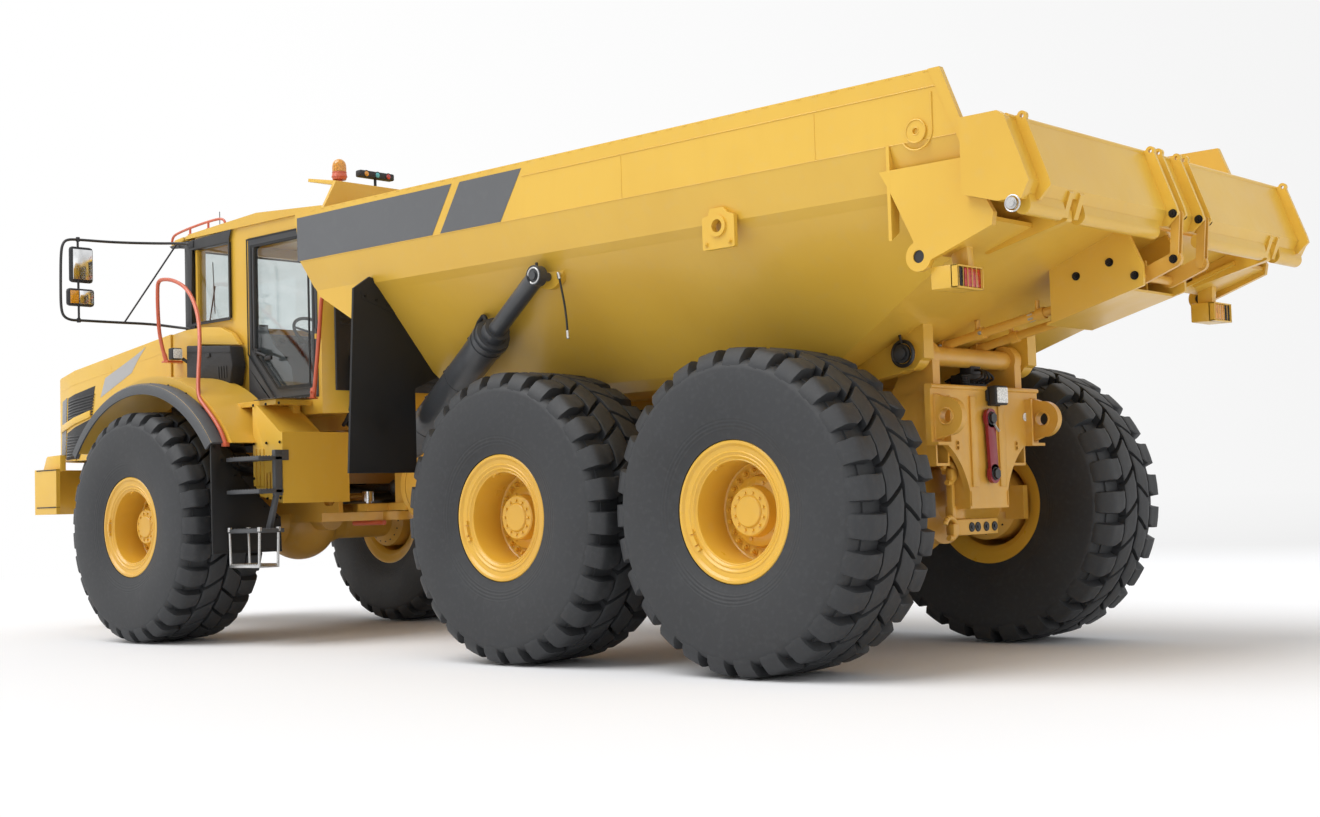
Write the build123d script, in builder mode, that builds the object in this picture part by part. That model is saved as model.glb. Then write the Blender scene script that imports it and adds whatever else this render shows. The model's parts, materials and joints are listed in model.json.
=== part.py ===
from build123d import *
from math import cos, radians, sin, tan
import os

os.makedirs("parts", exist_ok=True)

# Articulated dump truck, millimetres. +X forward, +Y left, +Z up. The origin lies on the
# ground under the middle of the whole machine.

# ---------------------------------------------------------------- overall layout
overall_length = 11263
rear_overhang = 2040
bogie_spacing = 1940
front_wheelbase = 4451
track = 2636
hinge_behind_front_axle = 1361

x_nose = overall_length / 2
x_rear = -overall_length / 2 + rear_overhang
x_mid = x_rear + bogie_spacing
x_front = x_mid + front_wheelbase
x_hinge = x_front - hinge_behind_front_axle
x_bogie = (x_rear + x_mid) / 2

# ---------------------------------------------------------------- fits
running_gap = 0.07
static_gap = 0.3
moving_gap = 6

# ---------------------------------------------------------------- wheels
tyre_radius = 937.5
tyre_half_width = 382
tread_half_width = 310
shoulder_half_width = 352
tyre_wall = 44
bead_radius = 317.5
flange_radius = 406
rim_half_width = 317
flange_wall = 20
barrel_inside = 287
disc_outer = 64
disc_wall = 24
cover_radius = 205
cover_depth = 205
cover_wall = 30
spindle_radius = 120
axle_z = tyre_radius

# ---------------------------------------------------------------- axles
axle_tube_radius = 160
diff_radius = 330
diff_nose = 470
drum_radius = 245
drum_inner_y = 960
end_gap = 10

# ---------------------------------------------------------------- rear frame
rail_inner = 360
rail_outer = 500
rail_top = 1600
rail_bottom = 1170
rail_wall = 16
rail_rear = x_rear - 600
rail_front = x_rear + 3720
roll_z = 1200
ring_radius = 290
ring_rear = x_rear + 4150
ring_front = x_rear + 4560
trunnion_radius = 200
trunnion_bore = 130
pad_height = 40
shaft_radius = 50

# ---------------------------------------------------------------- bogie
beam_inner = 600
beam_outer = 740
pivot_z = 1230
pivot_radius = 80
beam_hub_radius = 170
beam_end_radius = 95

# ---------------------------------------------------------------- tow plate
tow_plate_depth = 40
tow_ear_y = 540
tow_ear_wall = 50
tow_eye_x = x_rear - 720
tow_eye_z = 1455
tow_eye_radius = 40
tow_ear_radius = 112
plate_top = 1650
plate_top_half = 600
plate_wing_low = 1290
plate_neck_half = 215
plate_low = 912

# ---------------------------------------------------------------- dump body
tip_x = x_rear - 510
tip_z = 1830
tip_pin_radius = 60
tip_ear_radius = 100
tip_cheek_radius = 92
tip_cheek_inner = 420
tip_ear_inner = 530
tip_ear_outer = 630
rail_z = 3190
side_y = 1620
body_front = x_rear + 4120
chute_end = x_rear - 1770
wall = 25
top_rail = 90
body_beam_inner = 380
body_beam_outer = 480
body_tie = 120
skirt_inner = 1595
skirt_outer = 1630
arm_boss_x = x_rear - 1290
arm_boss_z = 2228
arm_boss_radius = 78
arm_hole_radius = 34
lug_x = x_rear + 100
lug_z = 2574
lug_y = 1555
lug_wall = 30
lug_ring = 14
lug_ring_radius = 62
lug_hole_radius = 38
lug_clearance = 20
lifting_eye_x = x_rear - 1300
lifting_eye_z = 2880
lifting_eye_radius = 62
gusset_y = 1545
bracket_reach = 330
bracket_top = 2600
linkage_wall_y = 238
linkage_wall = 24

# ---------------------------------------------------------------- tailgate
gate_x = x_rear - 1890
gate_z = 2415
gate_pin_radius = 25
gate_wall = 25
gate_plate_inner = 1635
gate_plate_outer = 1687
rib_y = (110, 205)
end_rib_y = 1560
gate_rib = 24
gate_notch = (1172, 1238)
gate_notch_radius = 92
gate_tube_radius = 44
gate_tube_y = (275, 1100)
gate_tube_end = (1300, 1634)
link_y = 158
lever_x = x_rear - 1790
lever_z = 2180
knee_x = x_rear - 1985
knee_z = 2255
gate_arm_x = x_rear - 2010
gate_arm_z = 2500

# ---------------------------------------------------------------- hoist
hoist_base = Vector(x_rear + 3660, 950, 1490)
hoist_eye = Vector(x_rear + 1650, 1550, 2462)
barrel_radius = 118
stage_radius = 88
rod_radius = 60
ball_radius = 70
ball_gap = 0.5
eye_radius = 66
eye_half_width = 30
hoist_bracket = (1400, 1445)
hoist_pin_radius = 28

# ---------------------------------------------------------------- hitch and steering
knuckle_radius = 120
knuckle_plate = 60
knuckle_low = 1010
knuckle_high = 1390
hinge_pin_radius = 60
fork_plate = 70
joint_ball = 70
steer_ear_y = 300
steer_z = 1130
steer_base = Vector(x_hinge + 1130, 330, steer_z)
steer_barrel_radius = 50
steer_rod_radius = 30
steer_ball = 34

# ---------------------------------------------------------------- front frame
front_rail_inner = 420
front_rail_outer = 540
front_rail_rear = x_hinge + 300
front_rail_front = x_rear + 8720
arch_radius = 240

# ---------------------------------------------------------------- cab
cab_rear = x_rear + 4720
cab_front = x_rear + 6700
cab_half = 850
cab_floor = 1790
cab_wall = 55
glass_wall = 8
door_rear = x_rear + 4920
door_front = x_rear + 5850
door_low = 1930
door_high = 3290
door_depth = 45
door_gap = 6
door_pivot_x = door_rear - door_gap / 2
door_pivot_y = cab_half + 14
door_knuckle = 13
door_knuckle_z = (2420, 3080)

# ---------------------------------------------------------------- hood and bumper
hood_rear = x_rear + 6920
hood_hinge_x = x_rear + 9095
hood_hinge_z = 1530
hood_pin_radius = 12
hood_lug = (300, 360)
hood_wall = 30
bumper_low = 1070
bumper_high = 1490

# ---------------------------------------------------------------- fenders
fender_x = x_rear + 6335
fender_radius = 1330
fender_z = 760
fender_wall = 25
fender_outer = 1600
fender_inner = 960
fender_crown = 1470
box_rear = x_rear + 4850
box_front = x_rear + 5240
box_top = 1640
box_inner = 620
box_outer = 1250
deck_inner = 870
fender_rise = 70


def block(x0, x1, y0, y1, z0, z1, mode=Mode.ADD):
    """Square block between pairs of faces."""
    with BuildSketch(Plane.XY.offset(z0)) as outline:
        with Locations(((x0 + x1) / 2, (y0 + y1) / 2)):
            Rectangle(abs(x1 - x0), abs(y1 - y0))
    extrude(outline.sketch, amount=z1 - z0, mode=mode)


def side_plate(points, y0, y1, radius=0, mode=Mode.ADD):
    """Outline of (x, z) points, as thick as y0 to y1."""
    with BuildSketch(Plane.XZ.offset(-y1)) as outline:
        with BuildLine():
            Polyline(*points, close=True)
        make_face()
        if radius:
            fillet(outline.vertices(), radius)
    extrude(outline.sketch, amount=y1 - y0, mode=mode)


def cross_plate(points, x0, x1, radius=0, mode=Mode.ADD):
    """Outline of (y, z) points, as thick as x0 to x1."""
    with BuildSketch(Plane.YZ.offset(x0)) as outline:
        with BuildLine():
            Polyline(*points, close=True)
        make_face()
        if radius:
            fillet(outline.vertices(), radius)
    extrude(outline.sketch, amount=x1 - x0, mode=mode)


def floor_plate(points, z0, z1, radius=0, mode=Mode.ADD):
    """Outline of (x, y) points, as thick as z0 to z1."""
    with BuildSketch(Plane.XY.offset(z0)) as outline:
        with BuildLine():
            Polyline(*points, close=True)
        make_face()
        if radius:
            fillet(outline.vertices(), radius)
    extrude(outline.sketch, amount=z1 - z0, mode=mode)


def bar(start, end, radius, mode=Mode.ADD):
    """Round bar between two points."""
    start = Vector(*start)
    run = Vector(*end) - start
    with BuildSketch(Plane(origin=start, z_dir=run)) as section:
        Circle(radius)
    extrude(section.sketch, amount=run.length, mode=mode)


def bent_tube(points, radius, bend, mode=Mode.ADD):
    """Round tube along straight runs joined by bends."""
    with BuildLine() as path:
        FilletPolyline(*points, radius=bend)
    with BuildSketch(path.line ^ 0) as section:
        Circle(radius)
    sweep(section.sketch, path=path.line, mode=mode)


def cross_pin(x, z, y0, y1, radius, mode=Mode.ADD):
    """Round pin or bore along Y."""
    bar((x, y0, z), (x, y1, z), radius, mode)


def ball(centre, radius, mode=Mode.ADD):
    with Locations(Location(Vector(*centre))):
        Sphere(radius, mode=mode)


def save(part, name):
    part.label = name
    export_step(part, f"parts/{name}.step")


def save_both_sides(part, name):
    """Write the left piece and its mirror image on the right."""
    save(part, f"{name}_left")
    with BuildPart() as twin:
        mirror(part, about=Plane.XZ)
    save(twin.part, f"{name}_right")


# ---------------------------------------------------------------- wheels
axles = (("front", x_front), ("middle", x_mid), ("rear", x_rear))


def wheel_plane(x):
    """Section plane of a left wheel: local x is outboard, local y the radius."""
    return Plane(origin=(x, track / 2, axle_z), x_dir=(0, 1, 0), z_dir=(1, 0, 0))


for axle_name, x in axles:
    spin_axis = Axis((x, 0, axle_z), (0, 1, 0))

    with BuildPart() as tyre:
        with BuildSketch(wheel_plane(x)):
            with BuildLine():
                ThreePointArc(
                    (-tread_half_width, tyre_radius - 10),
                    (0, tyre_radius),
                    (tread_half_width, tyre_radius - 10),
                )
                for m in (-1, 1):
                    lip = m * (rim_half_width - static_gap)
                    Line((m * tread_half_width, tyre_radius - 10), (m * shoulder_half_width, 872))
                    ThreePointArc(
                        (m * shoulder_half_width, 872), (m * tyre_half_width, 660), (m * 345, 432)
                    )
                    Polyline(
                        (m * 345, 432),
                        (m * (rim_half_width + flange_wall), flange_radius + 5),
                        (lip, flange_radius + static_gap),
                        (lip, bead_radius + static_gap),
                        (m * 255, bead_radius + static_gap),
                        (m * 255, 355),
                        (m * (338 - tyre_wall), 430),
                    )
                    ThreePointArc(
                        (m * (338 - tyre_wall), 430),
                        (m * (tyre_half_width - tyre_wall), 655),
                        (m * 300, 825),
                    )
                    Line((m * 300, 825), (m * 240, 866))
                Line((-240, 866), (240, 866))
            make_face()
        revolve(axis=spin_axis)
    save_both_sides(tyre.part, f"tyre_{axle_name}")

    with BuildPart() as rim:
        with BuildSketch(wheel_plane(x)):
            with BuildLine():
                Polyline(
                    (-rim_half_width - flange_wall, flange_radius),
                    (-rim_half_width, flange_radius),
                    (-rim_half_width, bead_radius),
                    (rim_half_width, bead_radius),
                    (rim_half_width, flange_radius),
                    (rim_half_width + flange_wall, flange_radius),
                    (rim_half_width + flange_wall, flange_radius - 70),
                    (rim_half_width - 20, barrel_inside),
                    (disc_outer, barrel_inside),
                    (disc_outer, cover_radius),
                    (cover_depth - 15, cover_radius),
                    (cover_depth, cover_radius - 15),
                    (cover_depth, 0),
                    (cover_depth - cover_wall, 0),
                    (cover_depth - cover_wall, spindle_radius),
                    (disc_outer - disc_wall, spindle_radius),
                    (disc_outer - disc_wall, barrel_inside),
                    (-rim_half_width + 20, barrel_inside),
                    (-rim_half_width - flange_wall, flange_radius - 70),
                    close=True,
                )
            make_face()
        revolve(axis=spin_axis)
    save_both_sides(rim.part, f"rim_{axle_name}")

# ---------------------------------------------------------------- axles
drum_outer_y = track / 2 + disc_outer - disc_wall - end_gap
spindle_end_y = track / 2 + cover_depth - cover_wall - end_gap
saddle_top = pivot_z - beam_end_radius
prop_front = Vector(ring_rear, 0, roll_z)
prop_rear = Vector(x_mid + diff_nose + 70, 0, axle_z + 40)


def axle_housing(x):
    """Housing with its centre bulb, necks, brake drums and spindles, all along Y."""
    with BuildSketch(Plane(origin=(x, 0, axle_z), x_dir=(0, 1, 0), z_dir=(1, 0, 0))) as section:
        with BuildLine():
            ThreePointArc((-250, 210), (0, diff_radius), (250, 210))
            for m in (-1, 1):
                Polyline(
                    (m * 250, 210),
                    (m * 400, axle_tube_radius),
                    (m * 900, axle_tube_radius),
                    (m * drum_inner_y, drum_radius),
                    (m * drum_outer_y, drum_radius),
                    (m * drum_outer_y, spindle_radius - running_gap),
                    (m * spindle_end_y, spindle_radius - running_gap),
                    (m * spindle_end_y, 0),
                )
            Line((-spindle_end_y, 0), (spindle_end_y, 0))
        make_face()
    revolve(section.sketch, axis=Axis((x, 0, axle_z), (0, 1, 0)))


with BuildPart() as tandem_axles:
    for x in (x_rear, x_mid):
        axle_housing(x)
        for m in (-1, 1):
            block(x - 120, x + 120, m * beam_inner, m * beam_outer, axle_z, saddle_top)
    for x in (x_rear, x_mid):
        for m in (-1, 1):
            # brake calipers behind the drums, ribs along the necks
            block(x - 330, x - 190, m * 905, m * drum_inner_y, axle_z - 110, axle_z + 110)
            block(x - 245, x - 130, m * 905, m * drum_inner_y, axle_z - 60, axle_z + 60)
            block(x - 12, x + 12, m * 260, m * 900, axle_z - axle_tube_radius - 46, axle_z - 100)
        cross_pin(x - 175, axle_z - 60, -330, 330, 70)
        bar((x - 318, 0, axle_z), (x + 10, 0, axle_z), 240)
    for x0, x1 in ((x_rear, x_rear + diff_nose), (x_mid - diff_nose, x_mid + diff_nose)):
        bar((x0, 0, axle_z + 40), (x1, 0, axle_z + 40), 120)
    # shafts between the axles and forward through the roll joint
    bar((x_rear + diff_nose, 0, axle_z + 40), (x_mid - diff_nose, 0, axle_z + 40), shaft_radius)
    bar((x_mid + diff_nose, 0, prop_rear.Z), prop_rear, shaft_radius)
    bar(prop_rear, prop_front, shaft_radius)
    bar(prop_front, (x_hinge - joint_ball - 60, 0, roll_z), shaft_radius)
    for centre in (prop_rear, prop_front):
        ball(centre, shaft_radius + 15)
save(tandem_axles.part, "tandem_axles")

tower_inner = 600
tower_outer = 740
tower_z = 1470
strut_radius = 60
with BuildPart() as front_axle:
    axle_housing(x_front)
    bar((x_front - diff_nose, 0, axle_z + 40), (x_front, 0, axle_z + 40), 120)
    for m in (-1, 1):
        y = m * (tower_inner + tower_outer) / 2
        bar((x_front, y, axle_z), (x_front, y, tower_z), strut_radius)
        bar((x_front, y, axle_z), (x_front, y, axle_z + 320), strut_radius + 25)
save(front_axle.part, "front_axle")

# ---------------------------------------------------------------- rear frame
neck_top = 1560
with BuildPart() as rear_frame:
    for m in (-1, 1):
        rail = (m * rail_inner, m * rail_outer)
        block(rail_rear, rail_front, rail[0], rail[1], rail_bottom, rail_top)
        hollow = (m * (rail_inner + rail_wall), m * (rail_outer - rail_wall))
        block(
            rail_rear - 1,
            rail_front - 300,
            hollow[0],
            hollow[1],
            rail_bottom + rail_wall,
            rail_top - rail_wall,
            Mode.SUBTRACT,
        )
    for x in (rail_rear + 60, x_rear + 450, x_rear + 2380, x_rear + 3000):
        block(x - 60, x + 60, -rail_inner, rail_inner, rail_bottom + 60, rail_top - 60)
    cross_pin(x_bogie, pivot_z, -rail_outer - 60, rail_outer + 60, 130)
    cross_pin(x_bogie, pivot_z, -beam_outer - 40, beam_outer + 40, pivot_radius)
    # neck between the rails and the round bearing of the roll joint
    with BuildSketch(Plane.YZ.offset(rail_front)) as wide:
        with Locations((0, (rail_bottom + rail_top) / 2)):
            Rectangle(2 * rail_outer, rail_top - rail_bottom)
    with BuildSketch(Plane.YZ.offset(ring_rear)) as narrow:
        with Locations((0, roll_z)):
            Rectangle(500, 500)
    loft(sections=[wide.sketch, narrow.sketch], ruled=True)
    bar((ring_rear, 0, roll_z), (ring_front, 0, roll_z), ring_radius)
    bar((ring_rear - 30, 0, roll_z), (ring_front + 1, 0, roll_z), trunnion_radius + running_gap, Mode.SUBTRACT)
    run = prop_front - prop_rear
    bar(prop_front + run * 0.05, prop_rear + run * 0.4, trunnion_bore, Mode.SUBTRACT)
    # cheeks and pin of the dump body's tip pivot
    for m in (-1, 1):
        y0 = min(m * tip_cheek_inner, m * (rail_outer - 5))
        y1 = max(m * tip_cheek_inner, m * (rail_outer - 5))
        side_plate(
            (
                (tip_x - 85, tip_z),
                (tip_x + 85, tip_z),
                (tip_x + 260, rail_top - 60),
                (tip_x - 85, rail_top - 60),
            ),
            y0,
            y1,
        )
        cross_pin(tip_x, tip_z, y0, y1, tip_cheek_radius)
    cross_pin(tip_x, tip_z, -tip_ear_outer - 40, tip_ear_outer + 40, tip_pin_radius)
    # hoist base cross tube with its ball studs
    cross_pin(hoist_base.X, hoist_base.Z, -hoist_base.Y + 160, hoist_base.Y - 160, 85)
    cross_pin(hoist_base.X, hoist_base.Z, -hoist_base.Y, hoist_base.Y, 42)
    for m in (-1, 1):
        ball((hoist_base.X, m * hoist_base.Y, hoist_base.Z), ball_radius)
save(rear_frame.part, "rear_frame")

with BuildPart() as rest_pads:
    for m in (-1, 1):
        block(
            x_rear + 100,
            x_rear + 3100,
            m * body_beam_inner,
            m * body_beam_outer,
            rail_top,
            rail_top + pad_height,
        )
save(rest_pads.part, "rest_pads")

with BuildPart() as bogie_beams:
    for m in (-1, 1):
        y0 = min(m * beam_inner, m * beam_outer)
        y1 = max(m * beam_inner, m * beam_outer)
        side_plate(
            (
                (x_rear - 130, saddle_top),
                (x_rear + 250, saddle_top),
                (x_bogie - 250, pivot_z - 150),
                (x_bogie + 250, pivot_z - 150),
                (x_mid - 250, saddle_top),
                (x_mid + 130, saddle_top),
                (x_mid + 130, saddle_top + 150),
                (x_bogie + 200, pivot_z + 150),
                (x_bogie - 200, pivot_z + 150),
                (x_rear - 130, saddle_top + 150),
            ),
            y0,
            y1,
            radius=30,
        )
        cross_pin(x_bogie, pivot_z, y0 - 10, y1 + 10, beam_hub_radius)
        cross_pin(x_bogie, pivot_z, y0 - 20, y1 + 20, pivot_radius + running_gap, Mode.SUBTRACT)
save(bogie_beams.part, "bogie_beams")

# ---------------------------------------------------------------- tow plate
with BuildPart() as tow_plate:
    with BuildSketch(Plane.YZ.offset(rail_rear - tow_plate_depth)) as outline:
        with BuildLine():
            Line((-plate_top_half, plate_top), (plate_top_half, plate_top))
            for k in (-1, 1):
                Line((k * plate_top_half, plate_top), (k * plate_top_half, plate_wing_low))
                Line((k * plate_top_half, plate_wing_low), (k * 430, plate_wing_low))
                ThreePointArc((k * 430, plate_wing_low), (k * 290, 1165), (k * plate_neck_half, 1020))
                Line((k * plate_neck_half, 1020), (k * plate_neck_half, plate_low))
            Line((-plate_neck_half, plate_low), (plate_neck_half, plate_low))
        make_face()
        for k in (-1, 1):
            with Locations((k * 330, 1290)):
                SlotOverall(56, 26, rotation=90, mode=Mode.SUBTRACT)
    extrude(outline.sketch, amount=tow_plate_depth)
    # rolled top edge and the box under the plate's foot
    bar(
        (rail_rear - tow_plate_depth, -plate_top_half, plate_top - 14),
        (rail_rear - tow_plate_depth, plate_top_half, plate_top - 14),
        14,
    )
    block(rail_rear - 5, rail_rear + 120, -plate_neck_half, plate_neck_half, plate_low, plate_low + 24)
    for m in (-1, 1):
        block(
            rail_rear - 5,
            rail_rear + 120,
            m * (plate_neck_half - 24),
            m * plate_neck_half,
            plate_low,
            rail_bottom + 40,
        )
        # shallow box wings beside the ears
        block(
            rail_rear - tow_plate_depth - 46,
            rail_rear - tow_plate_depth + 5,
            m * (tow_ear_y - 95),
            m * (tow_ear_y - 75),
            plate_wing_low,
            plate_top - 70,
        )
        block(
            rail_rear - tow_plate_depth - 46,
            rail_rear - tow_plate_depth + 5,
            m * (tow_ear_y - 95),
            m * plate_top_half,
            plate_wing_low,
            plate_wing_low + 18,
        )
        y0 = m * tow_ear_y - tow_ear_wall / 2
        y1 = m * tow_ear_y + tow_ear_wall / 2
        side_plate(
            (
                (rail_rear - 5, tow_eye_z - 150),
                (rail_rear - 5, tow_eye_z + 150),
                (tow_eye_x + 10, tow_eye_z + 112),
                (tow_eye_x + 10, tow_eye_z - 112),
            ),
            y0,
            y1,
        )
        cross_pin(tow_eye_x, tow_eye_z, y0, y1, tow_ear_radius)
        cross_pin(tow_eye_x, tow_eye_z, y0 - 1, y1 + 1, tow_eye_radius, Mode.SUBTRACT)
save(tow_plate.part, "tow_plate")

# ---------------------------------------------------------------- hitch
with BuildPart() as hitch:
    bar((ring_rear - 20, 0, roll_z), (ring_front + moving_gap, 0, roll_z), trunnion_radius)
    bar((ring_front + moving_gap, 0, roll_z), (ring_front + 60, 0, roll_z), ring_radius)
    for z0 in (knuckle_low, knuckle_high - knuckle_plate):
        floor_plate(
            (
                (ring_front + 50, -250),
                (x_hinge, -knuckle_radius),
                (x_hinge, knuckle_radius),
                (ring_front + 50, 250),
            ),
            z0,
            z0 + knuckle_plate,
        )
        bar((x_hinge, 0, z0), (x_hinge, 0, z0 + knuckle_plate), knuckle_radius)
    for m in (-1, 1):
        block(
            ring_front + 50,
            x_hinge - 190,
            m * 130,
            m * 170,
            knuckle_low + 10,
            knuckle_high - 10,
        )
    # side ears that the steering rods pull on
    block(
        x_hinge - 60,
        x_hinge + 60,
        -steer_ear_y - 60,
        steer_ear_y + 60,
        knuckle_low,
        knuckle_low + knuckle_plate,
    )
    bar(
        (x_hinge, 0, knuckle_low - 1),
        (x_hinge, 0, knuckle_high + 1),
        hinge_pin_radius + running_gap,
        Mode.SUBTRACT,
    )
    bar((ring_rear - 40, 0, roll_z), (ring_front + 80, 0, roll_z), trunnion_bore, Mode.SUBTRACT)
save(hitch.part, "hitch")

# ---------------------------------------------------------------- front frame
fork_low = knuckle_low - moving_gap
fork_high = knuckle_high + moving_gap
with BuildPart() as front_frame:
    for m in (-1, 1):
        block(
            front_rail_rear,
            front_rail_front,
            m * front_rail_inner,
            m * front_rail_outer,
            fork_low,
            fork_high,
        )
        y0 = min(m * (front_rail_outer - 40), m * front_rail_outer)
        y1 = max(m * (front_rail_outer - 40), m * front_rail_outer)
        side_plate(
            (
                (x_hinge + 70, fork_low),
                (front_rail_rear + 200, fork_low),
                (front_rail_rear + 200, fork_high + 150),
                (x_hinge + 70, fork_high + 150),
            ),
            y0,
            y1,
        )
        side_plate(
            (
                (x_hinge + 130, fork_low + 60),
                (front_rail_rear - 30, fork_low + 60),
                (front_rail_rear - 30, fork_high - 60),
                (x_hinge + 130, fork_high - 60),
            ),
            y0,
            y1,
            radius=40,
            mode=Mode.SUBTRACT,
        )
        block(x_front - 90, x_front + 90, m * (front_rail_outer - 5), m * tower_outer, tower_z, tower_z + 70)
        block(x_front - 90, x_front + 90, m * (front_rail_outer - 5), m * 575, 1180, tower_z + 70)
    cross_pin(x_front, axle_z, -front_rail_outer - 1, front_rail_outer + 1, arch_radius, Mode.SUBTRACT)
    block(
        front_rail_rear + 200,
        front_rail_rear + 320,
        -front_rail_inner,
        front_rail_inner,
        fork_high - 150,
        fork_high,
    )
    for x in (x_rear + 7050, x_rear + 8640):
        block(x - 60, x + 60, -front_rail_inner, front_rail_inner, fork_low + 20, fork_low + 160)
    for z0, z1 in ((fork_low - fork_plate, fork_low), (fork_high, fork_high + fork_plate)):
        floor_plate(
            (
                (x_hinge, -150),
                (front_rail_rear, -front_rail_outer),
                (front_rail_rear + 420, -front_rail_outer),
                (front_rail_rear + 420, front_rail_outer),
                (front_rail_rear, front_rail_outer),
                (x_hinge, 150),
            ),
            z0,
            z1,
        )
        bar((x_hinge, 0, z0), (x_hinge, 0, z1), 150)
    bar((x_hinge, 0, fork_low - fork_plate), (x_hinge, 0, knuckle_low + knuckle_plate + 5), hinge_pin_radius)
    bar((x_hinge, 0, knuckle_high - knuckle_plate - 5), (x_hinge, 0, fork_high + fork_plate), hinge_pin_radius)
    # studs of the steering cylinders' bases
    for m in (-1, 1):
        y = m * steer_base.Y
        bar((steer_base.X, y, steer_base.Z), (steer_base.X, m * (front_rail_inner + 5), steer_base.Z), 22)
        ball((steer_base.X, y, steer_base.Z), steer_ball)
    # cross bed and posts under the cab
    block(cab_rear + 200, cab_front - 200, -540, 540, cab_floor - 120, cab_floor)
    for m in (-1, 1):
        for x, z in ((x_rear + 5620, fork_high + fork_plate), (x_rear + 6180, fork_high)):
            block(x - 60, x + 60, m * 430, m * 495, z, cab_floor - 120)
save(front_frame.part, "front_frame")

# ---------------------------------------------------------------- steering cylinders
steer_eye = Vector(x_hinge, steer_ear_y, steer_z)
steer_run = steer_eye - steer_base
steer_length = steer_run.length
steer_way = steer_run.normalized()
steer_stroke_in = 260
steer_stroke_out = 260
steer_barrel_end = steer_length - steer_stroke_in - 70

with BuildPart() as steer_barrel:
    bar(steer_base, steer_base + steer_way * steer_barrel_end, steer_barrel_radius)
    ball(steer_base, steer_ball + 18)
    ball(steer_base, steer_ball + ball_gap, Mode.SUBTRACT)
    bar(
        steer_base,
        steer_base + Vector(0, 80, 0),
        30,
        Mode.SUBTRACT,
    )
    bar(
        steer_base + steer_way * 110,
        steer_base + steer_way * (steer_barrel_end - 60),
        steer_barrel_radius - 10,
        Mode.SUBTRACT,
    )
    bar(
        steer_base + steer_way * 110,
        steer_base + steer_way * (steer_barrel_end + 1),
        steer_rod_radius + running_gap,
        Mode.SUBTRACT,
    )
save_both_sides(steer_barrel.part, "steer_barrel")

with BuildPart() as steer_rod:
    bar(steer_base + steer_way * (steer_stroke_in + 120), steer_eye, steer_rod_radius)
    bar((steer_eye.X, steer_eye.Y, steer_z - 40), (steer_eye.X, steer_eye.Y, steer_z + 40), 48)
    bar((steer_eye.X, steer_eye.Y, knuckle_low + knuckle_plate + 5), steer_eye, 28)
save_both_sides(steer_rod.part, "steer_rod")

# ---------------------------------------------------------------- hoist
hoist_run = hoist_eye - hoist_base
hoist_length = hoist_run.length
hoist_way = hoist_run.normalized()
tip_travel = 70


def tipped(point, angle):
    """Place of a point of the dump body when the body is raised by an angle."""
    dx = point.X - tip_x
    dz = point.Z - tip_z
    c = cos(radians(angle))
    s = sin(radians(angle))
    return Vector(tip_x + dx * c - dz * s, point.Y, tip_z + dx * s + dz * c)


hoist_stroke = (tipped(hoist_eye, tip_travel) - hoist_base).length - hoist_length
stage_overlap = 120
barrel_start = 150
barrel_end = barrel_start + 60 + hoist_stroke / 2 + stage_overlap
stage_start = barrel_start + 20
stage_end = barrel_end + 70
rod_start = stage_start + 60
gland = 80


def hoist_point(distance):
    return hoist_base + hoist_way * distance


with BuildPart() as hoist_barrel:
    bar(hoist_point(60), hoist_point(barrel_end), barrel_radius)
    ball(hoist_base, ball_radius + 38)
    ball(hoist_base, ball_radius + ball_gap, Mode.SUBTRACT)
    bar(hoist_base, hoist_base - Vector(0, 150, 0), 64, Mode.SUBTRACT)
    bar(hoist_point(barrel_start), hoist_point(barrel_end - gland), barrel_radius - 14, Mode.SUBTRACT)
    bar(hoist_point(barrel_start), hoist_point(barrel_end + 1), stage_radius + running_gap, Mode.SUBTRACT)
save_both_sides(hoist_barrel.part, "hoist_barrel")

with BuildPart() as hoist_stage:
    bar(hoist_point(stage_start), hoist_point(stage_end), stage_radius)
    bar(hoist_point(stage_start + 20), hoist_point(stage_end - gland), stage_radius - 12, Mode.SUBTRACT)
    bar(hoist_point(stage_start + 20), hoist_point(stage_end + 1), rod_radius + running_gap, Mode.SUBTRACT)
save_both_sides(hoist_stage.part, "hoist_stage")

with BuildPart() as hoist_rod:
    bar(hoist_point(rod_start), hoist_point(hoist_length - 30), rod_radius)
    cross_pin(
        hoist_eye.X,
        hoist_eye.Z,
        hoist_eye.Y - eye_half_width,
        hoist_eye.Y + eye_half_width,
        eye_radius,
    )
    cross_pin(hoist_eye.X, hoist_eye.Z, hoist_bracket[1] + moving_gap, hoist_eye.Y + 45, hoist_pin_radius)
save_both_sides(hoist_rod.part, "hoist_rod")

# oil hose clipped along the top of each barrel
hose_radius = 16
hose_lift = barrel_radius + 26
hose_way = (Vector(0, 0, 1) - hoist_way * hoist_way.Z).normalized()
with BuildPart() as hoist_hose:
    bent_tube(
        (
            hoist_point(barrel_end - 60) + hose_way * (barrel_radius - 5),
            hoist_point(barrel_end - 60) + hose_way * (hose_lift + 45),
            hoist_point(barrel_end - 160) + hose_way * (hose_lift + 45),
            hoist_point(barrel_end - 280) + hose_way * hose_lift,
            hoist_point(240) + hose_way * hose_lift,
            hoist_point(240) + hose_way * (barrel_radius - 5),
        ),
        hose_radius,
        (35, 60, 80, 25),
    )
    for distance in (420, barrel_end / 2, barrel_end - 330):
        bar(
            hoist_point(distance) + hose_way * (barrel_radius - 5),
            hoist_point(distance) + hose_way * (hose_lift + hose_radius + 6),
            22,
        )
    add(hoist_barrel.part, mode=Mode.SUBTRACT)
    bar(hoist_point(100), hoist_point(barrel_end), barrel_radius - 2, Mode.SUBTRACT)
save_both_sides(hoist_hose.part, "hoist_hose")

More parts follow.
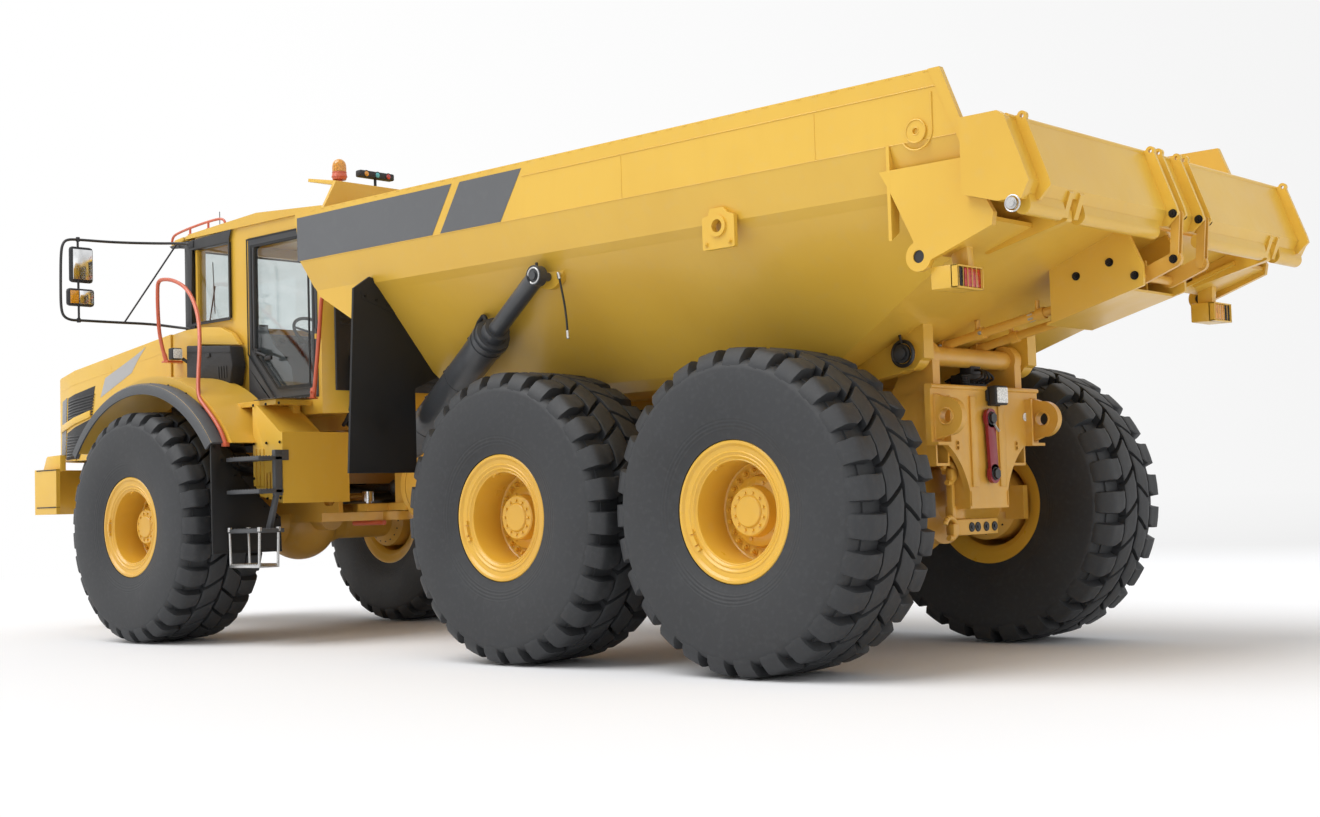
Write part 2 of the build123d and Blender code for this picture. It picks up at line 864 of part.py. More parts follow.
# ---------------------------------------------------------------- dump body
# the tub is a section along the machine cut to a side profile, less the load space
belly = (
    (650, 1700),
    (790, 1735),
    (870, 1803),
    (1490, 2548),
    (1540, 2600),
    (side_y, 2830),
)


def tub_section(inset, top):
    """Half sections on both sides, drawn as y and z, moved in by the wall."""
    half = [(y - inset * 0.75, z + inset * 0.66) for y, z in belly[1:4]]
    rim_side = [(1540 - inset, 2600), (side_y - inset, 2830), (side_y - inset, top)]
    right = [(650 - inset * 0.3, 1700 + inset)] + half + rim_side
    left = [(-y, z) for y, z in reversed(right)]
    with BuildSketch(Plane.YZ.offset(x_rear - 2500)) as section:
        with BuildLine():
            Polyline(*right, *left, close=True)
        make_face()
    return extrude(section.sketch, amount=7500, mode=Mode.PRIVATE)


def tub_profile(inset, top, rear):
    """Side profile, drawn as x and z, moved in by the wall."""
    points = (
        (x_rear + 30 + inset * 0.2, 1700 + inset),
        (x_rear - 300, 1850 + inset * 1.1),
        (x_rear - 990, 2160 + inset * 1.1),
        (chute_end - rear, 2470 + inset * 1.1 + rear * 0.4),
        (chute_end - rear, top) if rear else (x_rear - 1574, 2900),
        (x_rear - 1460 - rear, top),
        (body_front - inset, top),
        (x_rear + 4060 - inset, 2820),
        (x_rear + 3990 - inset, 2640 + inset * 0.3),
        (x_rear + 3930 - inset * 0.6, 2575 + inset * 0.9),
        (x_rear + 3550 - inset * 0.5, 2370 + inset * 0.9),
        (x_rear + 3440 - inset, 2240 + inset * 0.5),
        (x_rear + 3160 - inset, 1700 + inset),
    )
    with BuildSketch(Plane.XZ.offset(-2000)) as profile:
        with BuildLine():
            Polyline(*points, close=True)
        make_face()
    return extrude(profile.sketch, amount=4000, mode=Mode.PRIVATE)


load_space = tub_section(wall, rail_z + 400) & tub_profile(wall, rail_z + 400, 300)

with BuildPart() as dump_body:
    add(tub_section(0, rail_z) & tub_profile(0, rail_z, 0))
    add(load_space, mode=Mode.SUBTRACT)
    for m in (-1, 1):
        block(
            x_rear - 1455,
            body_front,
            m * (side_y - top_rail),
            m * side_y,
            rail_z - top_rail,
            rail_z,
        )
    block(body_front - top_rail, body_front, -side_y + 50, side_y - 50, rail_z - top_rail, rail_z)
    for m in (-1, 1):
        # long beams that rest on the frame's pads
        block(
            x_rear + 60,
            x_rear + 3140,
            m * body_beam_inner,
            m * body_beam_outer,
            rail_top + pad_height + static_gap,
            1701,
        )
        # ears round the tip pin
        y0 = min(m * tip_ear_inner, m * tip_ear_outer)
        y1 = max(m * tip_ear_inner, m * tip_ear_outer)
        side_plate(
            (
                (tip_x - 120, tip_z - 30),
                (tip_x - 120, tip_z + 210),
                (tip_x + 200, tip_z + 30),
                (tip_x + 480, 1715),
                (tip_x + 480, 1660),
                (tip_x + 60, tip_z - 110),
            ),
            y0,
            y1,
        )
        cross_pin(tip_x, tip_z, y0, y1, tip_ear_radius)
        cross_pin(tip_x, tip_z, y0 - 1, y1 + 1, tip_pin_radius + running_gap, Mode.SUBTRACT)
        # hoist bracket, flared up to the lip with hollow edges
        eye_low = hoist_eye.Z - eye_radius - 12
        eye_side = eye_radius + 55
        with BuildSketch(Plane.XZ.offset(-max(m * hoist_bracket[0], m * hoist_bracket[1]))) as flare:
            with BuildLine():
                Line((hoist_eye.X - bracket_reach, bracket_top), (hoist_eye.X + bracket_reach, bracket_top))
                for k in (-1, 1):
                    ThreePointArc(
                        (hoist_eye.X + k * bracket_reach, bracket_top),
                        (hoist_eye.X + k * 185, bracket_top - 58),
                        (hoist_eye.X + k * eye_side, hoist_eye.Z),
                    )
                ThreePointArc(
                    (hoist_eye.X - eye_side, hoist_eye.Z),
                    (hoist_eye.X, eye_low),
                    (hoist_eye.X + eye_side, hoist_eye.Z),
                )
            make_face()
        extrude(flare.sketch, amount=hoist_bracket[1] - hoist_bracket[0])
        # skirt and arm plate under the rear corner, closed below by a sloping plate
        skirt_y0 = min(m * skirt_inner, m * skirt_outer)
        skirt_y1 = max(m * skirt_inner, m * skirt_outer)
        side_plate(
            (
                (x_rear - 1060, 2700),
                (x_rear - 1120, 2600),
                (x_rear - 1262, 2310),
                (arm_boss_x + 30, arm_boss_z + 70),
                (arm_boss_x + 20, arm_boss_z - 60),
                (x_rear - 1733, 2336),
                (x_rear - 1745, 2400),
                (x_rear - 1706, 2470),
                (x_rear - 1610, 2700),
            ),
            skirt_y0,
            skirt_y1,
        )
        cross_pin(arm_boss_x, arm_boss_z, skirt_y0, skirt_y1, arm_boss_radius)
        cross_pin(arm_boss_x, arm_boss_z, skirt_y0 - 1, skirt_y1 + 1, arm_hole_radius, Mode.SUBTRACT)
        side_plate(
            (
                (arm_boss_x - 60, arm_boss_z + 6),
                (x_rear - 1725, 2362),
                (x_rear - 1725, 2384),
                (arm_boss_x - 60, arm_boss_z + 30),
            ),
            min(m * 1150, m * (skirt_inner + 5)),
            max(m * 1150, m * (skirt_inner + 5)),
        )
        cross_plate(
            ((m * 1180, 2255), (m * skirt_outer, 2240), (m * skirt_outer, 2620), (m * 1500, 2620)),
            arm_boss_x - 75,
            arm_boss_x - 55,
        )
        cross_plate(
            ((m * 1560, 2380), (m * (skirt_outer + 1), 2330), (m * (side_y + 10), 2830), (m * 1545, 2640)),
            x_rear - 1130,
            x_rear - 1110,
        )
        # tie-down lug on the lower band
        lug_y0 = min(m * lug_y, m * (lug_y + lug_wall))
        lug_y1 = max(m * lug_y, m * (lug_y + lug_wall))
        side_plate(
            (
                (lug_x - 120, lug_z + 56),
                (lug_x - 75, lug_z + 70),
                (lug_x - 40, lug_z + 106),
                (lug_x + 60, lug_z + 106),
                (lug_x + 75, lug_z + 66),
                (lug_x + 120, lug_z + 60),
                (lug_x + 120, lug_z - 130),
                (lug_x - 120, lug_z - 130),
            ),
            lug_y0,
            lug_y1,
            radius=12,
        )
        ring_face = m * (lug_y + lug_wall + lug_ring)
        cross_pin(lug_x, lug_z, m * lug_y, ring_face, lug_ring_radius)
        hole_inner = m * (lug_y - lug_clearance)
        hole_outer = m * (lug_y + lug_wall + lug_ring + lug_clearance)
        cross_pin(lug_x, lug_z, hole_inner, hole_outer, lug_hole_radius, Mode.SUBTRACT)
        for k in (-1, 1):
            cross_pin(lug_x + k * 88, lug_z - 98, lug_y0 - 1, lug_y1 + 1, 11, Mode.SUBTRACT)
        # lifting eye welded to the upper panel, with the reinforcing strap that curls round it
        cross_pin(
            lifting_eye_x,
            lifting_eye_z,
            min(m * (side_y - 5), m * (side_y + 10)),
            max(m * (side_y - 5), m * (side_y + 10)),
            lifting_eye_radius,
        )
        cross_pin(lifting_eye_x, lifting_eye_z, m * (side_y - 1), m * (side_y + 20), 16, Mode.SUBTRACT)
        # gusset between the front wall's foot and the lip
        side_plate(
            (
                (x_rear + 4000, 2650),
                (x_rear + 3940, 2570),
                (x_rear + 3550, 2360),
                (x_rear + 3440, 2610),
            ),
            min(m * (gusset_y - 25), m * gusset_y),
            max(m * (gusset_y - 25), m * gusset_y),
        )
        # raised edge along the slanting rear of the side
        side_plate(
            (
                (x_rear - 1390, rail_z),
                (x_rear - 1460, rail_z),
                (x_rear - 1574, 2900),
                (x_rear - 1700, 2600),
                (x_rear - 1640, 2600),
                (x_rear - 1508, 2915),
            ),
            min(m * (side_y - 5), m * skirt_outer),
            max(m * (side_y - 5), m * skirt_outer),
        )
        # hinge lugs of the tailgate
        y0 = min(m * 1180, m * 1230)
        y1 = max(m * 1180, m * 1230)
        side_plate(
            (
                (gate_x - 40, gate_z - 45),
                (gate_x - 40, gate_z + 20),
                (chute_end + 130, 2450),
                (chute_end + 330, 2345),
                (chute_end + 330, 2250),
            ),
            y0,
            y1,
            radius=15,
        )
        cross_pin(gate_x, gate_z, y0 - 1, y1 + 1, gate_pin_radius + running_gap, Mode.SUBTRACT)
    # ties between the long beams
    for x in (x_rear + 250, x_rear + 1150, x_rear + 2050, x_rear + 2900):
        block(x, x + body_tie, -body_beam_inner, body_beam_inner, rail_top + pad_height + 10, 1701)
    # box for the tailgate's linkage, open at the rear
    for y in (-linkage_wall_y - linkage_wall, linkage_wall_y):
        side_plate(
            (
                (x_rear - 1260, 2300),
                (x_rear - 1260, 1960),
                (x_rear - 1840, 2120),
                (x_rear - 1840, 2240),
                (x_rear - 1740, 2470),
            ),
            y,
            y + linkage_wall,
        )
        cross_pin(
            lever_x, lever_z, y - 1, y + linkage_wall + 1, gate_pin_radius + running_gap, Mode.SUBTRACT
        )
        for x, z in ((x_rear - 1430, 2215), (x_rear - 1640, 2270)):
            cross_pin(x, z, y - 1, y + linkage_wall + 1, 20, Mode.SUBTRACT)
    side_plate(
        (
            (x_rear - 1230, 1952),
            (x_rear - 1230, 1966),
            (x_rear - 1765, 2113),
            (x_rear - 1765, 2099),
        ),
        -linkage_wall_y - linkage_wall,
        linkage_wall_y + linkage_wall,
    )
    block(x_rear - 1700, x_rear - 1300, -245, 245, 2180, 2200)
    for y in (-70, 50):
        side_plate(
            (
                (x_rear - 1250, 2250),
                (x_rear - 1250, 1960),
                (x_rear - 1700, 2085),
                (x_rear - 1700, 2300),
            ),
            y,
            y + 20,
        )
    add(load_space, mode=Mode.SUBTRACT)
save(dump_body.part, "dump_body")

with BuildPart() as spill_guard:
    cross_plate(
        ((-1400, rail_z), (1400, rail_z), (1240, 3480), (-1240, 3480)),
        body_front + 5,
        body_front + 35,
    )
    side_plate(
        (
            (body_front + 5, 3450),
            (body_front + 5, 3480),
            (body_front + 350, 3545),
            (body_front + 355, 3520),
            (body_front + 30, 3450),
        ),
        -1240,
        1240,
    )
    for y in (-900, 0, 900):
        side_plate(
            (
                (body_front - 50, rail_z),
                (body_front + 10, rail_z),
                (body_front + 10, 3440),
            ),
            y - 15,
            y + 15,
        )
save(spill_guard.part, "spill_guard")

curtain_x = x_rear + 3320
with BuildPart() as mud_curtains:
    for m in (-1, 1):
        cross_plate(
            (
                (m * 1195, 1270),
                (m * 1790, 1270),
                (m * 1720, 2550),
                (m * 1580, 2640),
                (m * 1500, 2620),
                (m * 980, 1958),
                (m * 1195, 1870),
            ),
            curtain_x - 10,
            curtain_x + 10,
        )
    add(dump_body.part, mode=Mode.SUBTRACT)
save(mud_curtains.part, "mud_curtains")

with BuildPart() as tail_lamps:
    for m in (-1, 1):
        block(x_rear - 1500, x_rear - 1340, m * 1350, m * 1600, 2050, 2170)
        block(x_rear - 1480, x_rear - 1360, m * 1400, m * 1430, 2170, 2460)
    add(dump_body.part, mode=Mode.SUBTRACT)
save(tail_lamps.part, "tail_lamps")

# ---------------------------------------------------------------- hanging grease line
line_radius = 7
line_route = (
    Vector(x_rear + 1536, 1462, 2436),
    Vector(x_rear + 1508, 1463, 2329),
    Vector(x_rear + 1488, 1459, 2214),
    Vector(x_rear + 1478, 1461, 2104),
)
line_radii = []
for before, corner, after in zip(line_route, line_route[1:], line_route[2:]):
    turn = (corner - before).get_angle(after - corner)
    shorter = min((corner - before).length, (after - corner).length)
    line_radii.append(0.45 * shorter / tan(radians(turn / 2)))
print("grease line radii", [round(r) for r in line_radii])

with BuildPart() as grease_line:
    bent_tube(line_route, line_radius, line_radii)
save(grease_line.part, "grease_line")

with BuildPart() as grease_fitting:
    top = line_route[0]
    elbow = top - (line_route[1] - top).normalized() * 38
    bar(top, elbow, line_radius + 5)
    ball(elbow, line_radius + 5)
    bar(elbow, (elbow.X, hoist_bracket[1], elbow.Z), line_radius + 3)
save(grease_fitting.part, "grease_fitting")

with BuildPart() as grease_line_end:
    low = line_route[-1]
    bar(low, low + (low - line_route[-2]).normalized() * 52, line_radius + 2)
save(grease_line_end.part, "grease_line_end")

# ---------------------------------------------------------------- tailgate
with BuildPart() as tailgate:
    side_plate(
        (
            (x_rear - 1825, 2860),
            (x_rear - 1950, 2520),
            (x_rear - 1915, 2445),
            (x_rear - 1935, 2432),
            (x_rear - 1975, 2520),
            (x_rear - 1850, 2870),
        ),
        -gate_plate_outer,
        gate_plate_outer,
    )
    # room for the body's hinge lugs as the gate swings
    for m in (-1, 1):
        cross_pin(gate_x, gate_z, m * gate_notch[0], m * gate_notch[1], gate_notch_radius, Mode.SUBTRACT)
    for m in (-1, 1):
        side_plate(
            (
                (x_rear - 1600, 2500),
                (x_rear - 1600, 2890),
                (x_rear - 1820, 2890),
                (x_rear - 1860, 2860),
                (x_rear - 1985, 2520),
                (x_rear - 1940, 2440),
                (x_rear - 1800, 2440),
            ),
            min(m * gate_plate_inner, m * gate_plate_outer),
            max(m * gate_plate_inner, m * gate_plate_outer),
        )
        for y in (1130, 1238):
            side_plate(
                (
                    (gate_x + 35, gate_z - 25),
                    (gate_x + 10, gate_z + 40),
                    (x_rear - 1960, 2530),
                    (x_rear - 1980, 2500),
                    (gate_x - 45, gate_z - 35),
                ),
                min(m * y, m * (y + 42)),
                max(m * y, m * (y + 42)),
            )
        cross_pin(gate_x, gate_z, m * 1130, m * 1280, gate_pin_radius)
        for tube in (gate_tube_y, gate_tube_end):
            cross_pin(gate_x - 25, gate_z - 8, m * tube[0], m * tube[1], gate_tube_radius)
            side_plate(
                (
                    (gate_x - 60, gate_z + 45),
                    (gate_x - 25, gate_z + 30),
                    (gate_x - 25, gate_z),
                    (gate_x - 69, gate_z),
                ),
                min(m * tube[0], m * tube[1]),
                max(m * tube[0], m * tube[1]),
            )
        # top roll of the panel
        bar(
            (x_rear - 1840, m * 20, 2862), (x_rear - 1840, m * gate_plate_inner, 2862), 18
        )
    for y in (*rib_y, end_rib_y):
        for m in (-1, 1):
            side_plate(
                (
                    (x_rear - 1845, 2870),
                    (x_rear - 1970, 2520),
                    (x_rear - 1935, 2440),
                    (x_rear - 1970, 2435),
                    (x_rear - 2040, 2500),
                    (x_rear - 2030, 2540),
                    (x_rear - 1905, 2880),
                ),
                m * y - gate_rib / 2,
                m * y + gate_rib / 2,
            )
            cross_pin(x_rear - 1892, 2866, m * y - gate_rib / 2, m * y + gate_rib / 2, 26)
            cross_pin(x_rear - 1892, 2866, m * y - gate_rib, m * y + gate_rib, 11, Mode.SUBTRACT)
save(tailgate.part, "tailgate")

with BuildPart() as gate_levers:
    for m in (-1, 1):
        y0 = m * link_y - 14
        y1 = m * link_y + 14
        bar((lever_x, y0, lever_z), (lever_x, y1, lever_z), 40)
        bar((knee_x, y0, knee_z), (knee_x, y1, knee_z), 40)
        side_plate(
            (
                (lever_x - 15, lever_z - 38),
                (lever_x + 15, lever_z + 38),
                (knee_x + 15, knee_z + 38),
                (knee_x - 15, knee_z - 38),
            ),
            y0,
            y1,
        )
    cross_pin(lever_x, lever_z, -260, 260, gate_pin_radius)
save(gate_levers.part, "gate_levers")

with BuildPart() as gate_links:
    for m in (-1, 1):
        for offset in (-14 - static_gap - 12, 14 + static_gap):
            y0 = m * link_y + offset
            side_plate(
                (
                    (knee_x - 24, knee_z - 26),
                    (knee_x + 24, knee_z - 26),
                    (gate_arm_x + 24, gate_arm_z + 24),
                    (gate_arm_x - 24, gate_arm_z + 24),
                ),
                y0,
                y0 + 12,
                radius=20,
            )
save(gate_links.part, "gate_links")

# ---------------------------------------------------------------- engine
with BuildPart() as engine:
    block(x_rear + 6950, x_rear + 8500, -380, 380, 1170, 2150)
    block(x_rear + 8520, x_rear + 8640, -600, 600, 1500, 2200)
    block(x_rear + 8480, x_rear + 8530, -120, 120, 1500, 1800)
    block(x_rear + 5770, x_rear + 6960, -260, 260, 1290, 1620)
    block(x_rear + 5770, x_rear + 6000, -260, 260, 1110, 1300)
    for x in (x_rear + 7050, x_rear + 8400):
        block(x - 50, x + 50, -420, 420, 1170, 1250)
    bar((x_hinge, 0, roll_z), (x_rear + 5780, 0, roll_z), 35)
    ball((x_hinge, 0, roll_z), joint_ball)
save(engine.part, "engine")

# ---------------------------------------------------------------- cab
def cab_outline(inset):
    """Plan of the cab, drawn as x and y."""
    rear = cab_rear + inset
    front = cab_front - inset
    half = cab_half - inset
    return (
        (rear, -650 + inset * 0.5),
        (rear + 150, -half),
        (front - 60, -half),
        (front, -half + 60),
        (front, half - 60),
        (front - 60, half),
        (rear + 150, half),
        (rear, 650 - inset * 0.5),
    )


with BuildPart() as cab_shell:
    floor_plate(cab_outline(0), cab_floor, 3430)
    floor_plate(cab_outline(cab_wall), cab_floor + 40, 3380, mode=Mode.SUBTRACT)
    side_plate(
        (
            (cab_rear - 10, 3400),
            (cab_rear + 100, 3430),
            (x_rear + 5700, 3490),
            (cab_front - 20, 3440),
            (cab_front + 60, 3425),
            (cab_front + 60, 3400),
        ),
        -cab_half - 20,
        cab_half + 20,
    )
    # door opening on the left, window on the right
    floor_plate(
        (
            (door_rear - door_gap, 0),
            (door_front + door_gap, 0),
            (door_front + door_gap, 900),
            (door_rear - door_gap, 900),
        ),
        door_low - door_gap,
        door_high + door_gap,
        mode=Mode.SUBTRACT,
    )
    block(door_rear, door_front, -900, -700, 2400, door_high, Mode.SUBTRACT)
    for m in (-1, 1):
        block(x_rear + 6100, cab_front - 90, m * 750, m * 900, 2660, 3300, Mode.SUBTRACT)
    block(cab_front - 80, cab_front + 20, -760, 760, 2660, 3300, Mode.SUBTRACT)
    block(cab_rear - 20, cab_rear + 80, -560, 560, 2450, 3280, Mode.SUBTRACT)
    for z in door_knuckle_z:
        bar((door_pivot_x, door_pivot_y, z - 40), (door_pivot_x, door_pivot_y, z), door_knuckle)
        block(door_rear - 48, door_rear - door_gap, cab_half - 5, cab_half + 8, z - 40, z)
        block(door_rear - 20, door_pivot_x, cab_half, door_pivot_y, z - 40, z)
save(cab_shell.part, "cab_shell")

with BuildPart() as cab_glass:
    block(cab_front - 30, cab_front - 22, -760, 760, 2660, 3300)
    block(cab_rear + 22, cab_rear + 30, -560, 560, 2450, 3280)
    block(door_rear, door_front, -cab_half + 22, -cab_half + 30, 2400, door_high)
    for m in (-1, 1):
        block(x_rear + 6100, cab_front - 90, m * (cab_half - 30), m * (cab_half - 22), 2660, 3300)
save(cab_glass.part, "cab_glass")

with BuildPart() as cab_door:
    side_plate(
        (
            (door_rear, door_low),
            (door_front - 380, door_low),
            (door_front, door_low + 400),
            (door_front, door_high),
            (door_rear, door_high),
        ),
        cab_half - door_depth,
        cab_half,
    )
    side_plate(
        (
            (door_rear + 70, door_low + 90),
            (door_front - 420, door_low + 90),
            (door_front - 70, door_low + 440),
            (door_front - 70, door_high - 70),
            (door_rear + 70, door_high - 70),
        ),
        cab_half - door_depth - 1,
        cab_half + 1,
        radius=40,
        mode=Mode.SUBTRACT,
    )
    for z in door_knuckle_z:
        low = z + static_gap
        bar((door_pivot_x, door_pivot_y, low), (door_pivot_x, door_pivot_y, low + 40), door_knuckle)
        block(door_rear, door_rear + 60, cab_half - 5, cab_half + 8, low, low + 40)
        block(door_pivot_x, door_rear + 20, cab_half, door_pivot_y, low, low + 40)
save(cab_door.part, "cab_door")

with BuildPart() as door_glass:
    side_plate(
        (
            (door_rear + 70, door_low + 90),
            (door_front - 420, door_low + 90),
            (door_front - 70, door_low + 440),
            (door_front - 70, door_high - 70),
            (door_rear + 70, door_high - 70),
        ),
        cab_half - 26,
        cab_half - 18,
        radius=40,
    )
save(door_glass.part, "door_glass")

with BuildPart() as seat:
    block(x_rear + 5250, x_rear + 5750, -260, 260, 2250, 2370)
    side_plate(
        (
            (x_rear + 5250, 2370),
            (x_rear + 5370, 2370),
            (x_rear + 5270, 3050),
            (x_rear + 5150, 3050),
        ),
        -240,
        240,
    )
    block(x_rear + 5380, x_rear + 5620, -150, 150, cab_floor + 40, 2250)
save(seat.part, "seat")

with BuildPart() as dashboard:
    side_plate(
        (
            (x_rear + 6300, cab_floor + 40),
            (cab_front - cab_wall, cab_floor + 40),
            (cab_front - cab_wall, 2560),
            (x_rear + 6350, 2480),
            (x_rear + 6280, 2380),
        ),
        -cab_half + cab_wall + 60,
        cab_half - cab_wall - 60,
    )
    bar((x_rear + 6300, 0, 2400), (x_rear + 6120, 0, 2560), 30)
    bar((x_rear + 6120, 0, 2560), (x_rear + 6102, 0, 2576), 215)
save(dashboard.part, "dashboard")

# ---------------------------------------------------------------- hood and grille
def hood_profile(inset):
    return (
        (hood_rear - inset * 2, 2589 - inset),
        (x_rear + 7640, 2510 - inset),
        (x_rear + 8940 - inset * 0.3, 2350 - inset),
        (x_rear + 9100 - inset, 2250 - inset * 0.6),
        (x_rear + 9140 - inset, 1560 - inset * 2),
        (x_rear + 8560 - inset * 3, 1560 - inset * 2),
        (x_rear + 8560 - inset * 3, 1620 - inset * 2),
        (x_rear + 8100 - inset * 3, 1960 - inset * 2),
        (hood_rear - inset * 2, 1960 - inset * 2),
    )


def hood_plan(inset):
    half = 930 - inset
    return (
        (hood_rear - inset * 2, -half),
        (x_rear + 8560, -half),
        (x_rear + 8960, -half + 70),
        (x_rear + 9140 - inset, -half + 300),
        (x_rear + 9140 - inset, half - 300),
        (x_rear + 8960, half - 70),
        (x_rear + 8560, half),
        (hood_rear - inset * 2, half),
    )


def hood_form(inset):
    with BuildSketch(Plane.XY.offset(1400)) as plan:
        with BuildLine():
            Polyline(*hood_plan(inset), close=True)
        make_face()
    with BuildSketch(Plane.XZ.offset(-1000)) as profile:
        with BuildLine():
            Polyline(*hood_profile(inset), close=True)
        make_face()
    tall = extrude(plan.sketch, amount=1300, mode=Mode.PRIVATE)
    wide = extrude(profile.sketch, amount=2000, mode=Mode.PRIVATE)
    return tall & wide


with BuildPart() as hood:
    add(hood_form(0))
    add(hood_form(hood_wall), mode=Mode.SUBTRACT)
    block(x_rear + 9000, x_rear + 9200, -620, 620, 1640, 2200, Mode.SUBTRACT)
    for m in (-1, 1):
        y0 = min(m * hood_lug[0], m * hood_lug[1])
        y1 = max(m * hood_lug[0], m * hood_lug[1])
        cross_pin(hood_hinge_x, hood_hinge_z, y0, y1, 22)
        block(hood_hinge_x - 22, x_rear + 9115, y0, y1, hood_hinge_z, 1600)
        cross_pin(hood_hinge_x, hood_hinge_z, y0 - 1, y1 + 1, hood_pin_radius + running_gap, Mode.SUBTRACT)
save(hood.part, "hood")

with BuildPart() as front_grille:
    for z in range(1660, 2200, 60):
        block(x_rear + 9085, x_rear + 9115, -619, 619, z, z + 20)
    for y in (-400, 0, 400):
        block(x_rear + 9080, x_rear + 9100, y - 10, y + 10, 1640.3, 2199.7)
save(front_grille.part, "front_grille")

with BuildPart() as bumper:
    floor_plate(
        (
            (x_rear + 8700, -1050),
            (x_rear + 9100, -1050),
            (x_nose, -500),
            (x_nose, 500),
            (x_rear + 9100, 1050),
            (x_rear + 8700, 1050),
            (x_rear + 8700, 1010),
            (x_rear + 9040, 1010),
            (x_nose - 60, 480),
            (x_nose - 60, -480),
            (x_rear + 9040, -1010),
            (x_rear + 8700, -1010),
        ),
        bumper_low,
        bumper_high,
    )
    block(front_rail_front, x_nose - 60, -400, 400, 1100, 1300)
    for m in (-1, 1):
        block(front_rail_front, x_nose - 60, m * 400, m * 480, 1080, 1380)
        for y in (hood_lug[0] - moving_gap - 16, hood_lug[1] + moving_gap):
            block(hood_hinge_x - 20, hood_hinge_x + 20, m * y, m * (y + 16), 1290, hood_hinge_z)
            cross_pin(hood_hinge_x, hood_hinge_z, m * y, m * (y + 16), 20)
        cross_pin(
            hood_hinge_x,
            hood_hinge_z,
            m * (hood_lug[0] - 20),
            m * (hood_lug[1] + 20),
            hood_pin_radius,
        )
save(bumper.part, "bumper")

# ---------------------------------------------------------------- fenders
with BuildPart() as fenders:
    for m in (-1, 1):
        y0 = min(m * fender_inner, m * fender_outer)
        y1 = max(m * fender_inner, m * fender_outer)
        crown_y0 = min(m * fender_inner, m * fender_crown)
        crown_y1 = max(m * fender_inner, m * fender_crown)
        cross_pin(fender_x, fender_z, y0, y1, fender_radius)
        bar((fender_x, crown_y0, fender_z), (fender_x, crown_y1, fender_z), fender_radius + fender_rise)
        cross_pin(fender_x, fender_z, y0 - 1, y1 + 1, fender_radius - fender_wall, Mode.SUBTRACT)
    block(x_rear, x_nose, -2000, 2000, -1000, 1570, Mode.SUBTRACT)
    # the crown ends where the hood's side begins and at the deck behind
    block(x_rear + 7000, x_nose, -2000, 2000, fender_z + fender_radius, 3000, Mode.SUBTRACT)
    for m in (-1, 1):
        for x in (x_rear + 5400, x_rear + 7270):
            block(x - 40, x + 40, m * front_rail_outer, m * (fender_inner + 40), 1576, 1630)
            block(x - 40, x + 40, m * front_rail_outer, m * (front_rail_outer + 40), 1250, 1630)
        side_plate(
            (
                (x_rear + 7000, 1560),
                (x_rear + 8545, 1560),
                (x_rear + 8545, 1610),
                (x_rear + 8095, 1950),
                (x_rear + 7000, 1950),
            ),
            min(m * 880, m * 925),
            max(m * 880, m * 925),
        )
        block(x_rear + 7020, x_rear + 7320, m * 925, m * (fender_inner + 20), 1560, 1780)
        cross_pin(x_front, axle_z, m * 870, m * 1000, 990, Mode.SUBTRACT)
save(fenders.part, "fenders")

with BuildPart() as mudflaps:
    for m in (-1, 1):
        block(x_rear + 5288, x_rear + 5306, m * fender_inner, m * fender_outer, 710, 1570)
save(mudflaps.part, "mudflaps")

# ---------------------------------------------------------------- side boxes and steps
with BuildPart() as side_boxes:
    for m in (-1, 1):
        side_plate(
            (
                (box_rear, 1090),
                (box_front - 90, 1150),
                (box_front, 1260),
                (box_front, box_top),
                (box_rear, box_top),
            ),
            min(m * box_inner, m * box_outer),
            max(m * box_inner, m * box_outer),
        )
        # sloping cover between the box and the deck
        side_plate(
            (
                (box_rear + 30, box_top),
                (box_front, box_top),
                (box_front, 1860),
                (box_front - 60, 1860),
            ),
            min(m * deck_inner, m * box_outer),
            max(m * deck_inner, m * box_outer),
        )
        # pressed ribs on the outer face
        for x in (box_rear + 240, box_rear + 290, box_rear + 340):
            side_plate(
                ((x, 1230), (x + 34, 1230), (x + 34, 1520), (x, 1520)),
                min(m * (box_outer - 5), m * (box_outer + 9)),
                max(m * (box_outer - 5), m * (box_outer + 9)),
                radius=8,
            )
        block(x_rear + 5120, x_rear + 5200, m * front_rail_outer, m * 620, 1300, 1500)
        block(x_rear + 5000, x_rear + 5550, m * 860, m * 1200, 1860, 1900)
        block(x_rear + 5550, x_rear + 6100, m * 860, m * (fender_inner - 10), 1860, 1900)
        block(x_rear + 5100, x_rear + 5160, m * 900, m * 960, 1500, 1860)
    add(fenders.part, mode=Mode.SUBTRACT)
save(side_boxes.part, "side_boxes")

with BuildPart() as steps:
    for m in (-1, 1):
        for z in (910, 1210, 1457):
            block(x_rear + 4830, x_rear + 5080, m * 1250, m * 1500, z - 20, z)
        for x in (x_rear + 4830, x_rear + 5060):
            block(x, x + 20, m * 1250, m * 1280, 600, 1457)
        block(x_rear + 4830, x_rear + 5080, m * 1250, m * 1500, 600, 620)
save(steps.part, "steps")

# ---------------------------------------------------------------- rails and mirrors
with BuildPart() as handrails:
    for m in (-1, 1):
        bent_tube(
            (
                (x_rear + 6950, m * 1100, 1900),
                (x_rear + 6860, m * 1100, 3060),
                (x_rear + 6450, m * 1150, 2900),
                (x_rear + 5820, m * 1300, 2250),
                (x_rear + 5820, m * 1300, 1950),
            ),
            18,
            60,
        )
        bent_tube(
            (
                (x_rear + 4740, m * 800, 2700),
                (x_rear + 4740, m * 930, 2700),
                (x_rear + 4930, m * 930, 1600),
            ),
            18,
            60,
        )
    add(fenders.part, mode=Mode.SUBTRACT)
    add(side_boxes.part, mode=Mode.SUBTRACT)
save(handrails.part, "handrails")

